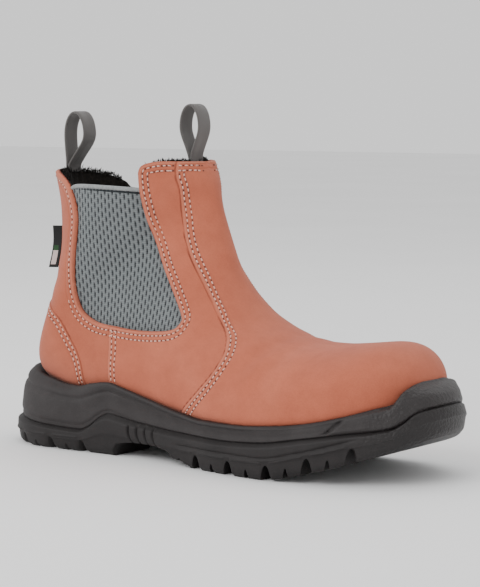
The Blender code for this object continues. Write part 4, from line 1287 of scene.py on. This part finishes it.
def make_outsole(material):
    """The tread piece: its wall as rings up to the parting line, and the lugs underneath."""
    flat = SHARES * SOLE_LENGTH
    gap, slit = gap_depth(flat)
    arch_line = np.array([(x, max(z, 0.0)) for x, z in smooth_path(ARCH, 4)])
    arch = np.interp(flat, arch_line[:, 0], arch_line[:, 1])
    lug = np.where(flat < 0.1, HEEL_LUG_HEIGHT, LUG_HEIGHT - 0.0015)
    notch = slit * np.where(flat < 0.1, 0.0042, 0.0050)
    lift = np.maximum(np.maximum(gap * lug, notch), arch)
    rings = []
    for share in np.linspace(0, 1, TREAD_RINGS):
        x, lateral, medial = plan_ring(float(along(OUTSOLE_WALL, share, 2)))
        base = along(UNDERSIDE, x)
        top = along(PARTING, x) - 0.00005
        z = np.minimum(np.maximum(base + share * (top - base), base + lift), top)
        ring = closed_ring(x, lateral, medial, z)
        rings.append(toe_pull(push(ring, tread_relief(ring, share))))
    cap = plan_ring(-0.0070)
    rings.append(toe_pull(closed_ring(*cap, along(PARTING, cap[0]) - 0.0001)))
    points = np.concatenate(rings)
    under = tread_underside(rings[0], gap, notch, lug, arch)
    faces = grid_faces(len(rings), len(rings[0]), True).tolist()
    faces += (grid_faces(*under.shape[:2], False)[:, ::-1] + len(points)).tolist()
    points = np.concatenate([points, under.reshape(-1, 3)])
    obj = array_object("tread_sole", points, faces, material, False)
    weld = bmesh.new()
    weld.from_mesh(obj.data)
    bmesh.ops.remove_doubles(weld, verts=weld.verts, dist=0.00003)
    bmesh.ops.recalc_face_normals(weld, faces=weld.faces)
    weld.to_mesh(obj.data)
    weld.free()
    obj.data.shade_smooth()
    obj.data.set_sharp_from_angle(angle=math.radians(38))
    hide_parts("outsole")


def make_loop(loop, material):
    """Webbing with soft edges along the CAD loop's own path."""
    cut, start, lean = TAILS[loop.name]
    path = dense_line(loop_path(loop), LINE_STEP)
    path = path[path[:, 1] > cut]
    run = run_of(path)
    fine = np.linspace(0, run[-1], 170)
    path = at_run(path, run, fine)
    soften(path, 3)
    out = loop.lean
    outer = min(path[0, 0] * -out, path[-1, 0] * -out) * -out
    draw = ease(clamp((start + 0.0120 - path[:, 1]) / 0.0075))
    inner = np.arange(len(path)) < len(path) / 2
    if path[0, 0] * -out < path[-1, 0] * -out:
        inner = ~inner
    wall = outer + out * (path[:, 1] - start) * lean
    path[:, 0] += draw * (wall - out * 0.0012 * inner - path[:, 0])
    tangent = np.gradient(path, axis=0)
    normal = unit_rows(np.stack([-tangent[:, 1], tangent[:, 0]], axis=1))
    half = TAPE_WIDTH / 2
    thick = WEBBING_THICKNESS / 2
    top = [(v, thick * (1 if abs(v) < half - 0.0006 else 0.75))
           for v in np.linspace(-half + 0.0003, half - 0.0003, 11)]
    profile = [(-half, 0.0)] + top + [(half, 0.0)]
    profile += [(v, -t) for v, t in profile[1:-1][::-1]]
    rings = [[(x + a * t, v, z + b * t) for v, t in profile] for (x, z), (a, b) in zip(path, normal)]
    obj = ring_object(loop.name + "_webbing", rings, material)
    point_values(obj, "along", np.repeat(fine, len(profile)))
    point_values(obj, "across", np.tile([v for v, _ in profile], len(fine)))
    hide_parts(loop.name)


def make_tag(material):
    """The folded tag: two layers joined by a soft fold at its outer edge."""
    cosine, sine = math.cos(TAG_HEADING), math.sin(TAG_HEADING)
    half = TAG_THICKNESS / 2
    turn = TAG_FLAP - half
    profile = [(0.0, -half), (turn, -half)]
    profile += [(turn + half * math.cos(a), half * math.sin(a)) for a in np.linspace(-1.2, 1.2, 6)]
    profile += [(turn, half), (0.0, half), (0.0, half * 0.3), (TAG_FLAP * 0.6, 0.0), (0.0, -half * 0.3)]
    rings = []
    for z in TAG_Z + TAG_HEIGHT * np.linspace(-0.5, 0.5, 24):
        wall = float(reach_across(TAG_X, z, PANEL_STEP)[0]) - half
        sway = 0.0004 * math.sin(z * 260)
        rings.append([(TAG_X + x * cosine - (y + sway * x / TAG_FLAP) * sine,
                       wall + x * sine + (y + sway * x / TAG_FLAP) * cosine, z) for x, y in profile])
    obj = ring_object("side_tag_fold", rings, material, False)
    point_values(obj, "out", np.tile([x / TAG_FLAP for x, _ in profile], len(rings)))
    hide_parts("side_tag")


# Stage. Of each light: name, place, height it is aimed at, size and power
LIGHTS = [
    ("key_light", (-0.15, -1.45, 1.15), 0.06, (1.2, 0.9), 17),
    ("fill_light", (-1.30, -0.90, 0.80), 0.07, (1.2, 1.0), 4),
    ("top_light", (0.0, 0.50, 1.50), 0.05, (1.5, 1.0), 6),
]


def area_light(name, place_at, aim, size, power):
    data = bpy.data.lights.new(name, "AREA")
    data.shape = "RECTANGLE"
    data.size, data.size_y = size
    data.energy = power
    obj = add_object(name, data)
    obj.location = place_at
    obj.rotation_mode = "QUATERNION"
    obj.rotation_quaternion = (Vector(aim) - Vector(place_at)).to_track_quat("-Z", "Y")


def make_stage():
    """Plain pale floor, even white surroundings and three soft lights."""
    n = Nodes("pale_floor", 0.9)
    floor_material = n.close(n.ramp(n.noise(3, 2), (0.3, grey(0.86)), (0.7, grey(0.89))))
    mesh = bpy.data.meshes.new("floor")
    corners = [(x, y, -0.0001) for x, y in ((-6, -6), (6, -6), (6, 6), (-6, 6))]
    mesh.from_pydata(corners, [], [(0, 1, 2, 3)])
    floor = add_object("floor", mesh)
    mesh.materials.append(floor_material)
    world = bpy.data.worlds.new("studio")
    world.use_nodes = True
    sky = world.node_tree.nodes["Background"].inputs
    sky["Color"].default_value = (1, 1, 1, 1)
    sky["Strength"].default_value = 1.05
    bpy.context.scene.world = world
    for name, place_at, aim_z, size, power in LIGHTS:
        area_light(name, place_at, (0.0, 0.0, aim_z), size, power)


def make_camera():
    """The camera at the photo's angle, aimed at the middle of the boot."""
    azimuth, elevation, reach = math.radians(36), math.radians(5.2), 1.15
    back = Vector((math.sin(azimuth) * math.cos(elevation), -math.cos(azimuth) * math.cos(elevation),
                   math.sin(elevation)))
    right = Vector((math.cos(azimuth), math.sin(azimuth), 0))
    up = back.cross(right)
    aim = Vector((0.140 + HEEL_X, CENTRE_Y, 0.095)) + right * 0.00738 - up * 0.00519
    data = bpy.data.cameras.new("camera")
    data.sensor_width = 36
    data.lens = 129.07
    camera = add_object("camera", data)
    camera.location = aim + back * reach
    camera.rotation_mode = "QUATERNION"
    camera.rotation_quaternion = (-back).to_track_quat("-Z", "Y")
    bpy.context.scene.camera = camera


CURVES = edge_curves()


def main():
    make_camera()
    make_stage()
    hide = nubuck("nubuck_main")
    # The rear and counter panels take a darker copy of the nubuck as painted shade.
    hide_shaded = nubuck("nubuck_rear_shaded", 0.93)
    rear = leather("leather_rear", 0.0, [window_field],
                   [(lambda p: QUARTER_EDGE_X + PANEL_LAP - p[:, 0], 0)], hide_shaded, WALL,
                   ["window"], ["quarter", "counter"])
    leather("leather_quarter", PANEL_STEP, [window_field, quarter_field],
            [(quarter_field, -PANEL_LAP), (lambda p: PANEL_LAP - vamp_field(p), 0)], hide, WALL,
            ["window", "quarter"], ["vamp"])
    leather("leather_vamp", 2 * PANEL_STEP, [window_field, vamp_field],
            [(vamp_field, -PANEL_LAP)], hide, WALL, ["window", "vamp"], [])
    leather("leather_counter", PANEL_STEP, [counter_field],
            [(counter_field, -PANEL_LAP)], hide_shaded, WALL / 2, ["counter"], [])
    leather("leather_backstay", 2 * PANEL_STEP, [window_field, backstay_field],
            [(backstay_field, -PANEL_LAP)], hide, WALL, ["window"], [])
    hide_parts("upper")
    make_stitches(cloth("stitch_thread", (204, 158, 142), (226, 186, 172), 900),
                  cloth("needle_shadow", (88, 46, 38), (104, 58, 48), 900))
    binding = cloth("binding_tape", (122, 125, 126), (148, 151, 151), 900)
    binding_shadow_line = cloth("binding_shadow", (30, 34, 37), (40, 45, 48), 900)
    rib = gore_material()
    make_gore("gore_ribs_lateral", -1, rib, binding, binding_shadow_line)
    make_gore("gore_ribs_medial", 1, rib, binding, binding_shadow_line)
    make_lining(cloth("pile_black", (8, 7, 6), (34, 29, 26), 700, 0.95, 0.15))
    make_midsole(rubber("cup_rubber", -3))
    make_outsole(rubber("tread_rubber", -17))
    webbing = webbing_material()
    for loop in LOOPS:
        make_loop(loop, webbing)
    make_tag(tag_material())
    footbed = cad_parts["insole"].data.materials
    footbed.clear()
    footbed.append(cloth("footbed_felt", (16, 15, 15), (34, 32, 31), 500))


main()
